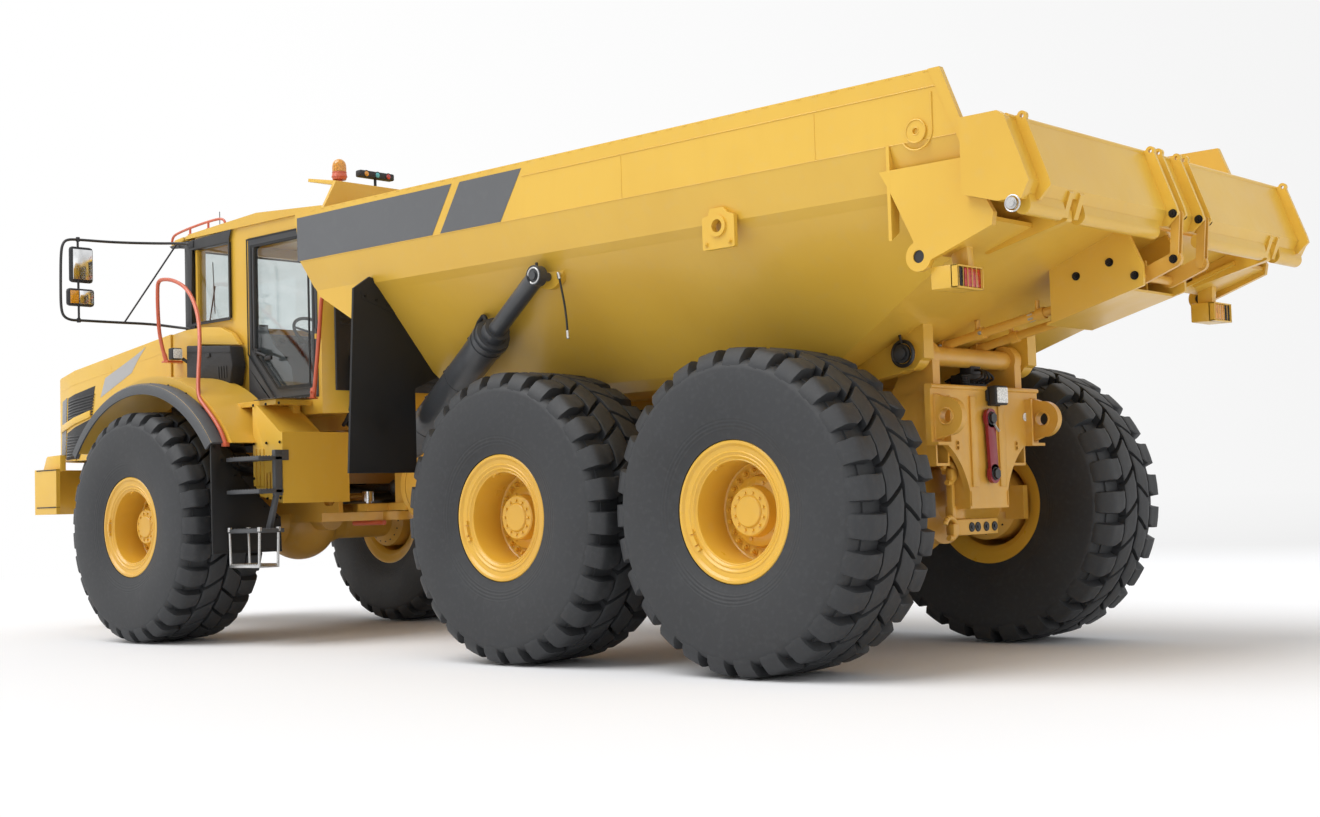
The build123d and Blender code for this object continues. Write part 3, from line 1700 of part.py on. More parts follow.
with BuildPart() as mirrors:
    for m in (-1, 1):
        bent_tube(
            (
                (x_rear + 6600, m * (cab_half + static_gap), 3360),
                (x_rear + 6600, m * (cab_half + 100), 3360),
                (x_rear + 7000, m * (cab_half + 200), 3390),
                (x_rear + 7000, m * 1900, 3370),
                (x_rear + 7000, m * 1900, 2750),
                (x_rear + 7000, m * (cab_half + 200), 2680),
                (x_rear + 6600, m * (cab_half + 100), 2640),
                (x_rear + 6600, m * (cab_half + static_gap), 2640),
            ),
            16,
            60,
        )
        block(x_rear + 6960, x_rear + 7010, m * 1700, m * 1888, 2900, 3250)
save(mirrors.part, "mirrors")

with BuildPart() as warning_lights:
    bar((body_front + 80, 1150, 3485), (body_front + 80, 1150, 3670), 60)
    block(body_front + 60, body_front + 120, 630, 980, 3550, 3600)
    bar((body_front + 90, 800, 3485), (body_front + 90, 800, 3560), 15)
    add(spill_guard.part, mode=Mode.SUBTRACT)
save(warning_lights.part, "warning_lights")

with BuildPart() as lock_bar:
    bar((x_rear + 4950, 200, fork_low - fork_plate - 20), (x_rear + 5350, 200, fork_low - fork_plate - 20), 20)
save(lock_bar.part, "lock_bar")
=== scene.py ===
import bpy
import bmesh
import json
from math import cos, hypot, pi, radians, sin
from mathutils import Matrix, Vector


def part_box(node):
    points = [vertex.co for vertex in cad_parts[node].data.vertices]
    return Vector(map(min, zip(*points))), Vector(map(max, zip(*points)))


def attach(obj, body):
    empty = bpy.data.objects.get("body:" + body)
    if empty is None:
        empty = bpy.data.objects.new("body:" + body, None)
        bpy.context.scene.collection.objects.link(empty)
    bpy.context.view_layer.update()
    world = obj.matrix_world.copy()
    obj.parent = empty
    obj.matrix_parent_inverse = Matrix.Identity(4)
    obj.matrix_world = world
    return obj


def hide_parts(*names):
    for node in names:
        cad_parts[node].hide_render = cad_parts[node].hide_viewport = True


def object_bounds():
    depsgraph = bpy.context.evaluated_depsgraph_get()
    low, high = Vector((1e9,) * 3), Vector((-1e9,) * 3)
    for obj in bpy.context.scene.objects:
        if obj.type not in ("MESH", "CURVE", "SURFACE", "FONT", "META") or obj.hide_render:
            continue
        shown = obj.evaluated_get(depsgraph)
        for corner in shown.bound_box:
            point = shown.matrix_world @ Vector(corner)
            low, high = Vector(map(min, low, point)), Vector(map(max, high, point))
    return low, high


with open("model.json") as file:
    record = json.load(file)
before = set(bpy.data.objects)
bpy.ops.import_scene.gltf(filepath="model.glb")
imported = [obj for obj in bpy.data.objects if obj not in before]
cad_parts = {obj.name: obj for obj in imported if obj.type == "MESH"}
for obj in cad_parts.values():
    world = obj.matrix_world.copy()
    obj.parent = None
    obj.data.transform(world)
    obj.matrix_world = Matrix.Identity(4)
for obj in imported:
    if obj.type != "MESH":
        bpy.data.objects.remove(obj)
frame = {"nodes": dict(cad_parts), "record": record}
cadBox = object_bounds()
print("frame loaded:", len(frame["nodes"]), "nodes")
scene = bpy.context.scene


def centreOf(node):
    low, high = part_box(node)
    return (low + high) / 2


rearX = centreOf("tyre_rear_left").x


def at(x, y, z):
    # millimetres forward of the rear axle, left of the middle and above the ground
    return Vector((rearX + x / 1000, y / 1000, z / 1000))


# finishes
def newMaterial(name):
    material = bpy.data.materials.new(name)
    material.use_nodes = True
    nodes = material.node_tree.nodes
    shader = nodes["Principled BSDF"]
    place = nodes.new("ShaderNodeTexCoord")
    return material, nodes, material.node_tree.links, shader, place.outputs["Object"]


def noiseAt(nodes, links, vector, scale, detail=4, stretch=(1, 1, 1)):
    mapping = nodes.new("ShaderNodeMapping")
    mapping.inputs["Scale"].default_value = stretch
    links.new(vector, mapping.inputs["Vector"])
    noise = nodes.new("ShaderNodeTexNoise")
    noise.inputs["Scale"].default_value = scale
    noise.inputs["Detail"].default_value = detail
    links.new(mapping.outputs["Vector"], noise.inputs["Vector"])
    return noise.outputs["Fac"]


def rampOf(nodes, links, value, stops):
    ramp = nodes.new("ShaderNodeValToRGB")
    first, last = ramp.color_ramp.elements
    first.position, first.color = stops[0][0], (*stops[0][1], 1)
    last.position, last.color = stops[-1][0], (*stops[-1][1], 1)
    for position, colour in stops[1:-1]:
        ramp.color_ramp.elements.new(position).color = (*colour, 1)
    links.new(value, ramp.inputs["Fac"])
    return ramp.outputs["Color"]


def grey(value):
    return (value, value, value)


def mixColour(nodes, links, factor, first, second, blend="MIX"):
    mix = nodes.new("ShaderNodeMix")
    mix.data_type = "RGBA"
    mix.blend_type = blend
    if isinstance(factor, (int, float)):
        mix.inputs["Factor"].default_value = factor
    else:
        links.new(factor, mix.inputs["Factor"])
    for socket, value in ((mix.inputs["A"], first), (mix.inputs["B"], second)):
        if isinstance(value, tuple):
            socket.default_value = (*value, 1)
        else:
            links.new(value, socket)
    return mix.outputs["Result"]


def mathOf(nodes, links, operation, *values):
    node = nodes.new("ShaderNodeMath")
    node.operation = operation
    for socket, value in zip(node.inputs, values):
        if isinstance(value, (int, float)):
            socket.default_value = value
        else:
            links.new(value, socket)
    return node.outputs["Value"]


def waveOf(nodes, links, vector, scale, distortion, direction="X"):
    wave = nodes.new("ShaderNodeTexWave")
    wave.bands_direction = direction
    wave.inputs["Scale"].default_value = scale
    wave.inputs["Distortion"].default_value = distortion
    links.new(vector, wave.inputs["Vector"])
    return wave.outputs["Fac"]


def cellsOf(nodes, links, vector, scale):
    cells = nodes.new("ShaderNodeTexVoronoi")
    cells.inputs["Scale"].default_value = scale
    links.new(vector, cells.inputs["Vector"])
    return cells.outputs["Distance"]


def mixShader(nodes, links, factor, first, second):
    mix = nodes.new("ShaderNodeMixShader")
    if isinstance(factor, float):
        mix.inputs["Fac"].default_value = factor
    else:
        links.new(factor, mix.inputs["Fac"])
    links.new(first, mix.inputs[1])
    links.new(second, mix.inputs[2])
    return mix.outputs["Shader"]


def surfaceBump(nodes, links, shader, layers):
    # each layer is a height, its depth in metres and its strength
    normal = None
    for height, depth, strength in layers:
        bump = nodes.new("ShaderNodeBump")
        bump.inputs["Distance"].default_value = depth
        bump.inputs["Strength"].default_value = strength
        links.new(height, bump.inputs["Height"])
        if normal is not None:
            links.new(normal, bump.inputs["Normal"])
        normal = bump.outputs["Normal"]
    links.new(normal, shader.inputs["Normal"])


def enamel(name, colour, dark, spec):
    # sprayed enamel: slow tone change, faint dust, orange peel and dulled patches
    material, nodes, links, shader, place = newMaterial(name)
    tone = noiseAt(nodes, links, place, spec["toneScale"], 3)
    base = rampOf(nodes, links, tone, [(0.3, dark), (0.62, colour)])
    dust = noiseAt(nodes, links, place, spec["dustScale"], 8)
    dustMask = rampOf(nodes, links, dust, [(0.55, grey(0)), (0.8, grey(spec["dust"]))])
    base = mixColour(nodes, links, dustMask, base, spec["dustColour"])
    streaks = noiseAt(nodes, links, place, 3.2, 5, (4.0, 4.0, 0.35))
    streakMask = rampOf(nodes, links, streaks, [(0.5, grey(0)), (0.78, grey(spec["streak"]))])
    base = mixColour(nodes, links, streakMask, base, dark)
    links.new(base, shader.inputs["Base Color"])
    rough = noiseAt(nodes, links, place, 5.0, 6)
    low, high = spec["rough"]
    links.new(rampOf(nodes, links, rough, [(0.3, grey(low)), (0.75, grey(high))]), shader.inputs["Roughness"])
    peel = noiseAt(nodes, links, place, spec["peelScale"], 2)
    wave = noiseAt(nodes, links, place, 1.7, 2)
    surfaceBump(nodes, links, shader, [(wave, 0.004, 0.25), (peel, 0.0006, spec["peel"])])
    shader.inputs["Coat Weight"].default_value = spec["coat"]
    shader.inputs["Coat Roughness"].default_value = 0.12
    return material


paintSpec = {"toneScale": 0.9, "dustScale": 14, "dust": 0.10, "dustColour": (0.60, 0.47, 0.25),
             "streak": 0.22, "rough": (0.30, 0.44), "peelScale": 190, "peel": 0.16, "coat": 0.22}
yellowPaint = enamel("yellowPaint", (0.765, 0.470, 0.058), (0.705, 0.415, 0.046), paintSpec)
rimPaint = enamel("rimPaint", (0.745, 0.430, 0.045), (0.67, 0.365, 0.036),
                  {**paintSpec, "rough": (0.26, 0.38)})
framePaint = enamel("framePaint", (0.74, 0.41, 0.060), (0.64, 0.34, 0.050),
                    {**paintSpec, "dust": 0.2, "toneScale": 2.4, "rough": (0.34, 0.5)})
orangePaint = enamel("orangePaint", (0.66, 0.135, 0.060), (0.55, 0.10, 0.045),
                     {**paintSpec, "dust": 0.06, "rough": (0.30, 0.42)})
redPaint = enamel("redPaint", (0.30, 0.014, 0.030), (0.22, 0.010, 0.022), {**paintSpec, "dust": 0.08})
graphitePaint = enamel("graphitePaint", (0.052, 0.055, 0.060), (0.040, 0.042, 0.046),
                       {**paintSpec, "dustColour": (0.16, 0.16, 0.16), "rough": (0.34, 0.5)})
blackPaint = enamel("blackPaint", (0.018, 0.018, 0.019), (0.012, 0.012, 0.013),
                    {**paintSpec, "dustColour": (0.09, 0.09, 0.09), "rough": (0.36, 0.55)})
stripeFilm = enamel("stripeFilm", (0.100, 0.104, 0.110), (0.090, 0.094, 0.100),
                    {**paintSpec, "dustColour": (0.2, 0.2, 0.2), "streak": 0.1, "peel": 0.05, "coat": 0.35})
paleStripe = enamel("paleStripe", (0.42, 0.42, 0.42), (0.37, 0.37, 0.38),
                    {**paintSpec, "dustColour": (0.5, 0.5, 0.5), "streak": 0.1, "peel": 0.05})


plasticGrain = {"scale": 420, "strength": 0.35}


def mouldedPlastic(name, colour, rough):
    material, nodes, links, shader, place = newMaterial(name)
    tone = noiseAt(nodes, links, place, 2.2, 4)
    darker = tuple(c * 0.84 for c in colour)
    base = rampOf(nodes, links, tone, [(0.3, darker), (0.7, colour)])
    scuff = noiseAt(nodes, links, place, 26, 8, (1, 1, 3))
    scuffMask = rampOf(nodes, links, scuff, [(0.6, grey(0)), (0.8, grey(0.2))])
    base = mixColour(nodes, links, scuffMask, base, tuple(min(1, c * 1.7 + 0.01) for c in colour))
    links.new(base, shader.inputs["Base Color"])
    links.new(rampOf(nodes, links, scuff, [(0.3, grey(rough)), (0.8, grey(rough + 0.14))]),
              shader.inputs["Roughness"])
    cells = cellsOf(nodes, links, place, plasticGrain["scale"])
    surfaceBump(nodes, links, shader, [(tone, 0.002, 0.2), (cells, 0.0007, plasticGrain["strength"])])
    return material


greyPlastic = mouldedPlastic("greyPlastic", (0.078, 0.081, 0.086), 0.5)
blackPlastic = mouldedPlastic("blackPlastic", (0.022, 0.022, 0.024), 0.52)
paleTrim = mouldedPlastic("paleTrim", (0.30, 0.30, 0.305), 0.6)


def blackRubberSheet():
    # hung rubber: woven grain, scuffs and slow ripples
    material, nodes, links, shader, place = newMaterial("blackRubber")
    tone = noiseAt(nodes, links, place, 3.1, 6)
    links.new(rampOf(nodes, links, tone, [(0.3, (0.006, 0.006, 0.0065)), (0.75, (0.012, 0.012, 0.013))]),
              shader.inputs["Base Color"])
    links.new(rampOf(nodes, links, tone, [(0.3, grey(0.58)), (0.75, grey(0.76))]), shader.inputs["Roughness"])
    weave = waveOf(nodes, links, place, 60, 1.2)
    surfaceBump(nodes, links, shader, [(tone, 0.012, 0.3), (weave, 0.0006, 0.2)])
    return material


blackRubber = blackRubberSheet()


# rings' spacing and the band of radii that carries them, metres
mouldRings = {"pitch": 0.021, "band": (0.455, 0.47, 0.52, 0.535)}


def tyreRubber():
    # rings from the mould follow the wheel's radius; dust sits in the grain
    material, nodes, links, shader, place = newMaterial("tyreRubber")
    radius = nodes.new("ShaderNodeAttribute")
    radius.attribute_name = "wheelRadius"
    tone = noiseAt(nodes, links, place, 2.6, 6)
    base = rampOf(nodes, links, tone, [(0.25, (0.021, 0.022, 0.024)), (0.75, (0.032, 0.034, 0.037))])
    dust = noiseAt(nodes, links, place, 34, 9)
    dustMask = rampOf(nodes, links, dust, [(0.5, grey(0)), (0.78, grey(0.30))])
    base = mixColour(nodes, links, dustMask, base, (0.060, 0.062, 0.065))
    links.new(base, shader.inputs["Base Color"])
    links.new(rampOf(nodes, links, tone, [(0.3, grey(0.52)), (0.75, grey(0.68))]), shader.inputs["Roughness"])
    spread = mathOf(nodes, links, "MULTIPLY", radius.outputs["Fac"], 2 * pi / mouldRings["pitch"])
    rings = mathOf(nodes, links, "SINE", spread)
    wall = rampOf(nodes, links, radius.outputs["Fac"],
                  [(position, grey(value)) for position, value in zip(mouldRings["band"], (0, 1, 1, 0))])
    band = mathOf(nodes, links, "MULTIPLY", rings, wall)
    surfaceBump(nodes, links, shader, [(band, 0.0012, 0.5), (dust, 0.0012, 0.35), (tone, 0.004, 0.25)])
    return material


treadRubber = tyreRubber()


def barMetal(name, colour, rough, scale, grain=0.25):
    material, nodes, links, shader, place = newMaterial(name)
    marks = noiseAt(nodes, links, place, scale, 8)
    darker = tuple(c * 0.72 for c in colour)
    links.new(rampOf(nodes, links, marks, [(0.3, darker), (0.68, colour)]), shader.inputs["Base Color"])
    links.new(rampOf(nodes, links, marks, [(0.3, grey(rough + 0.16)), (0.7, grey(rough))]),
              shader.inputs["Roughness"])
    shader.inputs["Metallic"].default_value = 1.0
    surfaceBump(nodes, links, shader, [(marks, 0.0006, grain)])
    return material


brightSteel = barMetal("brightSteel", (0.70, 0.70, 0.69), 0.24, 90)
chromeRod = barMetal("chromeRod", (0.80, 0.80, 0.80), 0.10, 120, grain=0.05)
castIron = barMetal("castIron", (0.105, 0.105, 0.105), 0.5, 70, grain=0.6)
boltSteel = barMetal("boltSteel", (0.045, 0.045, 0.048), 0.4, 140, grain=0.3)
mirrorFace = barMetal("mirrorFace", (0.86, 0.87, 0.88), 0.05, 12, grain=0.01)


glossShare = 0.09


def tintedGlass():
    # clear, faintly grey-green, with wiped streaks
    material, nodes, links, shader, place = newMaterial("tintedGlass")
    nodes.remove(shader)
    clear = nodes.new("ShaderNodeBsdfTransparent")
    smear = noiseAt(nodes, links, place, 3.0, 6, (1, 1, 2.5))
    links.new(rampOf(nodes, links, smear, [(0.3, (0.87, 0.90, 0.90)), (0.75, (0.92, 0.94, 0.94))]),
              clear.inputs["Color"])
    gloss = nodes.new("ShaderNodeBsdfGlossy")
    links.new(rampOf(nodes, links, smear, [(0.3, grey(0.02)), (0.8, grey(0.10))]), gloss.inputs["Roughness"])
    pane = mixShader(nodes, links, glossShare, clear.outputs["BSDF"], gloss.outputs["BSDF"])
    links.new(pane, nodes["Material Output"].inputs["Surface"])
    return material


cabGlassFinish = tintedGlass()


def lensFinish(name, colour, glow=0.0):
    # a prism grid behind a glossy face
    material, nodes, links, shader, place = newMaterial(name)
    cells = cellsOf(nodes, links, place, 85)
    darker = tuple(c * 0.55 for c in colour)
    links.new(rampOf(nodes, links, cells, [(0.1, colour), (0.7, darker)]),
              shader.inputs["Base Color"])
    links.new(rampOf(nodes, links, cells, [(0.0, grey(0.10)), (0.9, grey(0.25))]),
              shader.inputs["Roughness"])
    shader.inputs["Coat Weight"].default_value = 0.8
    shader.inputs["Emission Color"].default_value = (*colour, 1)
    shader.inputs["Emission Strength"].default_value = glow
    surfaceBump(nodes, links, shader, [(cells, 0.002, 0.5)])
    return material


amberLens = lensFinish("amberLens", (0.85, 0.36, 0.02), 0.12)
redLens = lensFinish("redLens", (0.62, 0.03, 0.02), 0.08)
whiteLens = lensFinish("whiteLens", (0.86, 0.87, 0.85), 0.15)
blueLens = lensFinish("blueLens", (0.10, 0.55, 0.60), 0.10)


def seatCloth():
    # fine crossed yarns with lighter flecks
    material, nodes, links, shader, place = newMaterial("seatCloth")
    yarns = [waveOf(nodes, links, place, 150, 0.8, direction) for direction in ("X", "Z")]
    cross = mathOf(nodes, links, "MULTIPLY", *yarns)
    fleck = noiseAt(nodes, links, place, 240, 3)
    base = rampOf(nodes, links, cross, [(0.1, (0.030, 0.031, 0.034)), (0.8, (0.075, 0.077, 0.082))])
    fleckMask = rampOf(nodes, links, fleck, [(0.6, grey(0)), (0.75, grey(0.5))])
    base = mixColour(nodes, links, fleckMask, base, (0.16, 0.16, 0.17))
    links.new(base, shader.inputs["Base Color"])
    links.new(rampOf(nodes, links, fleck, [(0.2, grey(0.82)), (0.8, grey(0.95))]), shader.inputs["Roughness"])
    shader.inputs["Sheen Weight"].default_value = 0.35
    surfaceBump(nodes, links, shader, [(cross, 0.0012, 0.6)])
    return material


seatFabric = seatCloth()
print("finishes made")

# what each carried-over node is finished in
nodeFinishes = {
    yellowPaint: ["dump_body", "spill_guard", "tailgate", "cab_shell", "hood", "bumper", "side_boxes",
                  "fenders"],
    framePaint: ["rear_frame", "bogie_beams", "tandem_axles", "tow_plate", "gate_levers", "gate_links",
                 "hitch", "front_frame", "front_axle"],
    graphitePaint: ["hoist_barrel_left", "hoist_barrel_right", "hoist_stage_left", "hoist_stage_right",
                    "hoist_rod_left", "hoist_rod_right", "steer_barrel_left", "steer_barrel_right"],
    chromeRod: ["steer_rod_left", "steer_rod_right"],
    blackRubber: ["rest_pads", "mud_curtains", "mudflaps", "hoist_hose_left", "hoist_hose_right"],
    greyPlastic: ["cab_door", "dashboard", "steps"],
    blackPlastic: ["front_grille", "mirrors", "tail_lamps", "warning_lights"],
    cabGlassFinish: ["cab_glass", "door_glass"],
    castIron: ["engine"],
    orangePaint: ["handrails", "lock_bar"],
    brightSteel: ["grease_fitting", "grease_line_end"],
    seatFabric: ["seat"],
}
for finish, names in nodeFinishes.items():
    for name in names:
        for slot in frame["nodes"][name].material_slots:
            slot.material = finish


# making pieces
def meshData(name, mesh):
    data = bpy.data.meshes.new(name)
    mesh.to_mesh(data)
    mesh.free()
    return data


def newObject(name, data):
    made = bpy.data.objects.new(name, data)
    scene.collection.objects.link(made)
    return made


def joinInto(mesh, part):
    made = meshData("part", part)
    mesh.from_mesh(made)
    bpy.data.meshes.remove(made)


def spunRound(mesh, outline, axis, steps, weld):
    bmesh.ops.spin(mesh, geom=outline, cent=(0, 0, 0), axis=axis, dvec=(0, 0, 0), angle=2 * pi, steps=steps,
                   use_merge=True, use_duplicate=False)
    bmesh.ops.remove_doubles(mesh, verts=mesh.verts, dist=weld)
    bmesh.ops.recalc_face_normals(mesh, faces=mesh.faces)


def finishPiece(name, mesh, finish, body, smooth=35, bevel=0.0, closed=True):
    bmesh.ops.remove_doubles(mesh, verts=mesh.verts, dist=0.00002)
    if closed:
        bmesh.ops.recalc_face_normals(mesh, faces=mesh.faces)
    data = meshData(name, mesh)
    piece = newObject(name, data)
    data.materials.append(finish)
    if smooth:
        data.shade_smooth()
        data.set_sharp_from_angle(angle=radians(smooth))
    if bevel:
        edge = piece.modifiers.new("edge", "BEVEL")
        edge.width = bevel
        edge.segments = 2
        edge.limit_method = "ANGLE"
        edge.angle_limit = radians(40)
    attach(piece, body)
    return piece


def addBlock(mesh, low, high):
    size = high - low
    place = Matrix.Translation((low + high) / 2) @ Matrix.Diagonal((abs(size.x), abs(size.y), abs(size.z), 1))
    return bmesh.ops.create_cube(mesh, size=1, matrix=place)["verts"]


def addRod(mesh, start, end, radius, sides=24, endRadius=None):
    run = end - start
    turn = run.to_track_quat("Z", "Y").to_matrix().to_4x4()
    place = Matrix.Translation((start + end) / 2) @ turn
    return bmesh.ops.create_cone(mesh, cap_ends=True, segments=sides, radius1=radius,
                                 radius2=radius if endRadius is None else endRadius,
                                 depth=run.length, matrix=place)["verts"]


def addBolt(mesh, centre, way, radius, height):
    way = way.normalized()
    addRod(mesh, centre - way * height * 0.1, centre + way * height * 0.16, radius * 1.3, 16)
    addRod(mesh, centre, centre + way * height, radius, 6)
    addRod(mesh, centre, centre + way * height * 1.35, radius * 0.5, 10)


def tubeAlong(name, points, radius, finish, body, stiffness=3):
    line = bpy.data.curves.new(name, "CURVE")
    line.dimensions = "3D"
    line.bevel_depth = radius
    line.bevel_resolution = 4
    line.use_fill_caps = True
    spline = line.splines.new("NURBS")
    spline.points.add(len(points) - 1)
    for point, place in zip(spline.points, points):
        point.co = (*place, 1)
    spline.order_u = stiffness
    spline.use_endpoint_u = True
    spline.resolution_u = 10
    line.materials.append(finish)
    piece = newObject(name, line)
    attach(piece, body)
    return piece


sides = (("left", 1), ("right", -1))

# camera
view = {"x": -6.3263, "y": 9.1105, "z": 0.9897, "yaw": -47.405, "pitch": 3.171, "roll": -1.718, "lens": 47.45}
yaw, pitch, roll = (radians(view[key]) for key in ("yaw", "pitch", "roll"))
ahead = Vector((cos(yaw) * cos(pitch), sin(yaw) * cos(pitch), sin(pitch)))
level = Vector((sin(yaw), -cos(yaw), 0))
above = level.cross(ahead)
rightWay = level * cos(roll) + above * sin(roll)
upWay = above * cos(roll) - level * sin(roll)
cameraData = bpy.data.cameras.new("camera")
cameraData.lens = view["lens"]
cameraData.sensor_width = 36
camera = newObject("camera", cameraData)
camera.matrix_world = Matrix.Translation((rearX + view["x"], view["y"], view["z"])) @ Matrix(
    (rightWay, upWay, -ahead)).transposed().to_4x4()
scene.camera = camera

# hanging grease line
greaseLine = {"route": [(1536, 1462, 2436), (1508, 1463, 2329), (1488, 1459, 2214), (1478, 1461, 2104)],
              "radius": 0.007}
greaseRoute = [at(*point) for point in greaseLine["route"]]
greasePiece = tubeAlong("greaseLine", greaseRoute, greaseLine["radius"], blackRubber, "dump_body")
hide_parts("grease_line")
print("camera and grease line set")

# studio
studio = {"keyStrength": 2.15, "fillStrength": 0.42, "ambient": 0.56, "floorSize": 220, "fadeFrom": 8,
          "fadeTo": 22}
scene.view_settings.view_transform = "Standard"
world = bpy.data.worlds.new("studio")
scene.world = world
world.use_nodes = True
skyNodes, skyLinks = world.node_tree.nodes, world.node_tree.links
skyNodes.clear()
skyOut = skyNodes.new("ShaderNodeOutputWorld")
seen = skyNodes.new("ShaderNodeLightPath")
way = skyNodes.new("ShaderNodeTexCoord")
parts = skyNodes.new("ShaderNodeSeparateXYZ")
skyLinks.new(way.outputs["Generated"], parts.inputs["Vector"])
# the backdrop goes from white at the nose's side to pale grey behind the body
backdropTones = [(0.10, grey(0.86)), (0.80, grey(1.0))]
backdrop = rampOf(skyNodes, skyLinks, parts.outputs["X"], backdropTones)
ambientSky = skyNodes.new("ShaderNodeBackground")
ambientSky.inputs["Color"].default_value = (0.98, 0.99, 1.0, 1)
ambientSky.inputs["Strength"].default_value = studio["ambient"]
shownSky = skyNodes.new("ShaderNodeBackground")
skyLinks.new(backdrop, shownSky.inputs["Color"])
shownSky.inputs["Strength"].default_value = 1.0
eitherRay = mathOf(skyNodes, skyLinks, "MAXIMUM", seen.outputs["Is Camera Ray"],
                   seen.outputs["Is Transmission Ray"])
anyRay = mathOf(skyNodes, skyLinks, "MAXIMUM", eitherRay, seen.outputs["Is Glossy Ray"])
skyMix = mixShader(skyNodes, skyLinks, anyRay, ambientSky.outputs["Background"],
                   shownSky.outputs["Background"])
skyLinks.new(skyMix, skyOut.inputs["Surface"])

for name, aim, strength, spread in (("key", (-0.30, -0.62, -1.0), studio["keyStrength"], 50),
                                    ("fill", (0.9, -0.35, -0.42), studio["fillStrength"], 80),
                                    ("back", (-0.8, 0.6, -0.5), studio["fillStrength"] * 0.7, 80)):
    sun = bpy.data.lights.new(name, "SUN")
    sun.energy = strength
    sun.angle = radians(spread)
    lamp = newObject(name, sun)
    lamp.matrix_world = Vector(aim).to_track_quat("-Z", "Y").to_matrix().to_4x4()

floorMaterial, floorNodes, floorLinks, floorShader, floorPlace = newMaterial("studioFloor")
floorShader.inputs["Base Color"].default_value = (0.86, 0.86, 0.87, 1)
floorShader.inputs["Roughness"].default_value = 0.9
# near the machine it takes the shadows, further off it turns into the backdrop's own tone
floorGlow = floorNodes.new("ShaderNodeEmission")
floorGlow.inputs["Strength"].default_value = 1.0
floorSpread = floorNodes.new("ShaderNodeVectorMath")
floorSpread.operation = "LENGTH"
floorLinks.new(floorPlace, floorSpread.inputs[0])
floorWay = floorNodes.new("ShaderNodeVectorMath")
floorWay.operation = "NORMALIZE"
floorLinks.new(floorPlace, floorWay.inputs[0])
floorWayParts = floorNodes.new("ShaderNodeSeparateXYZ")
floorLinks.new(floorWay.outputs["Vector"], floorWayParts.inputs["Vector"])
floorLinks.new(rampOf(floorNodes, floorLinks, floorWayParts.outputs["X"], backdropTones),
               floorGlow.inputs["Color"])
fadeOut = floorNodes.new("ShaderNodeMapRange")
fadeOut.interpolation_type = "SMOOTHSTEP"
fadeOut.inputs["From Min"].default_value = studio["fadeFrom"]
fadeOut.inputs["From Max"].default_value = studio["fadeTo"]
floorLinks.new(floorSpread.outputs["Value"], fadeOut.inputs["Value"])
floorRay = floorNodes.new("ShaderNodeLightPath")
fadeSeen = mathOf(floorNodes, floorLinks, "MULTIPLY", fadeOut.outputs["Result"],
                  floorRay.outputs["Is Camera Ray"])
floorMix = mixShader(floorNodes, floorLinks, fadeSeen, floorShader.outputs["BSDF"],
                     floorGlow.outputs["Emission"])
floorLinks.new(floorMix, floorNodes["Material Output"].inputs["Surface"])
floorMesh = bmesh.new()
bmesh.ops.create_grid(floorMesh, x_segments=1, y_segments=1, size=studio["floorSize"])
floorData = meshData("floor", floorMesh)
floorData.materials.append(floorMaterial)
floor = newObject("floor", floorData)
floor.location.z = cadBox[0].z - 0.002
print("camera, lights and floor set")

# tyres
tyre = {"radius": 0.9365, "halfWidth": 0.381, "lugs": 27, "depth": 0.058, "outerLug": 0.136,
        "innerLug": 0.184, "lean": 0.72, "chamfer": 0.006, "steps": 108}


def wallPoint(u):
    # outside line of the tyre, u metres from the crown's middle: place and outward way
    crown, shoulder = 0.312, 0.392
    if u <= crown:
        return Vector((u, tyre["radius"] - 0.010 * (u / crown) ** 2)), Vector((0.03 * u / crown,
                                                                               1)).normalized()
    if u <= shoulder:
        t = (u - crown) / (shoulder - crown)
        start, end = Vector((0.312, tyre["radius"] - 0.010)), Vector((0.357, 0.865))
        return start.lerp(end, t), Vector((0.25 + 0.65 * t, 1 - 0.55 * t)).normalized()
    # round wall down to the bead
    t = min(1.0, (u - shoulder) / 0.48)
    a, b, c, d = Vector((0.357, 0.865)), Vector((0.392, 0.75)), Vector((0.392, 0.56)), Vector((0.338, 0.415))
    s = 1 - t
    place = a * s ** 3 + b * 3 * s * s * t + c * 3 * s * t * t + d * t ** 3
    run = (b - a) * 3 * s * s + (c - b) * 6 * s * t + (d - c) * 3 * t * t
    return place, Vector((-run.y, run.x)).normalized()


def grooveDepth(u):
    # how far the carcass lies under the lugs' tops
    if u < 0.33:
        return tyre["depth"]
    return max(0.0, tyre["depth"] * (1 - (u - 0.33) / 0.115))


def aroundWheel(point, side):
    # from along the outside line, along the tread and height to the wheel
    place, out = wallPoint(point.x)
    place = place + out * point.z
    angle = point.y / tyre["radius"]
    return Vector((-place.y * cos(angle), side * place.x, place.y * sin(angle)))


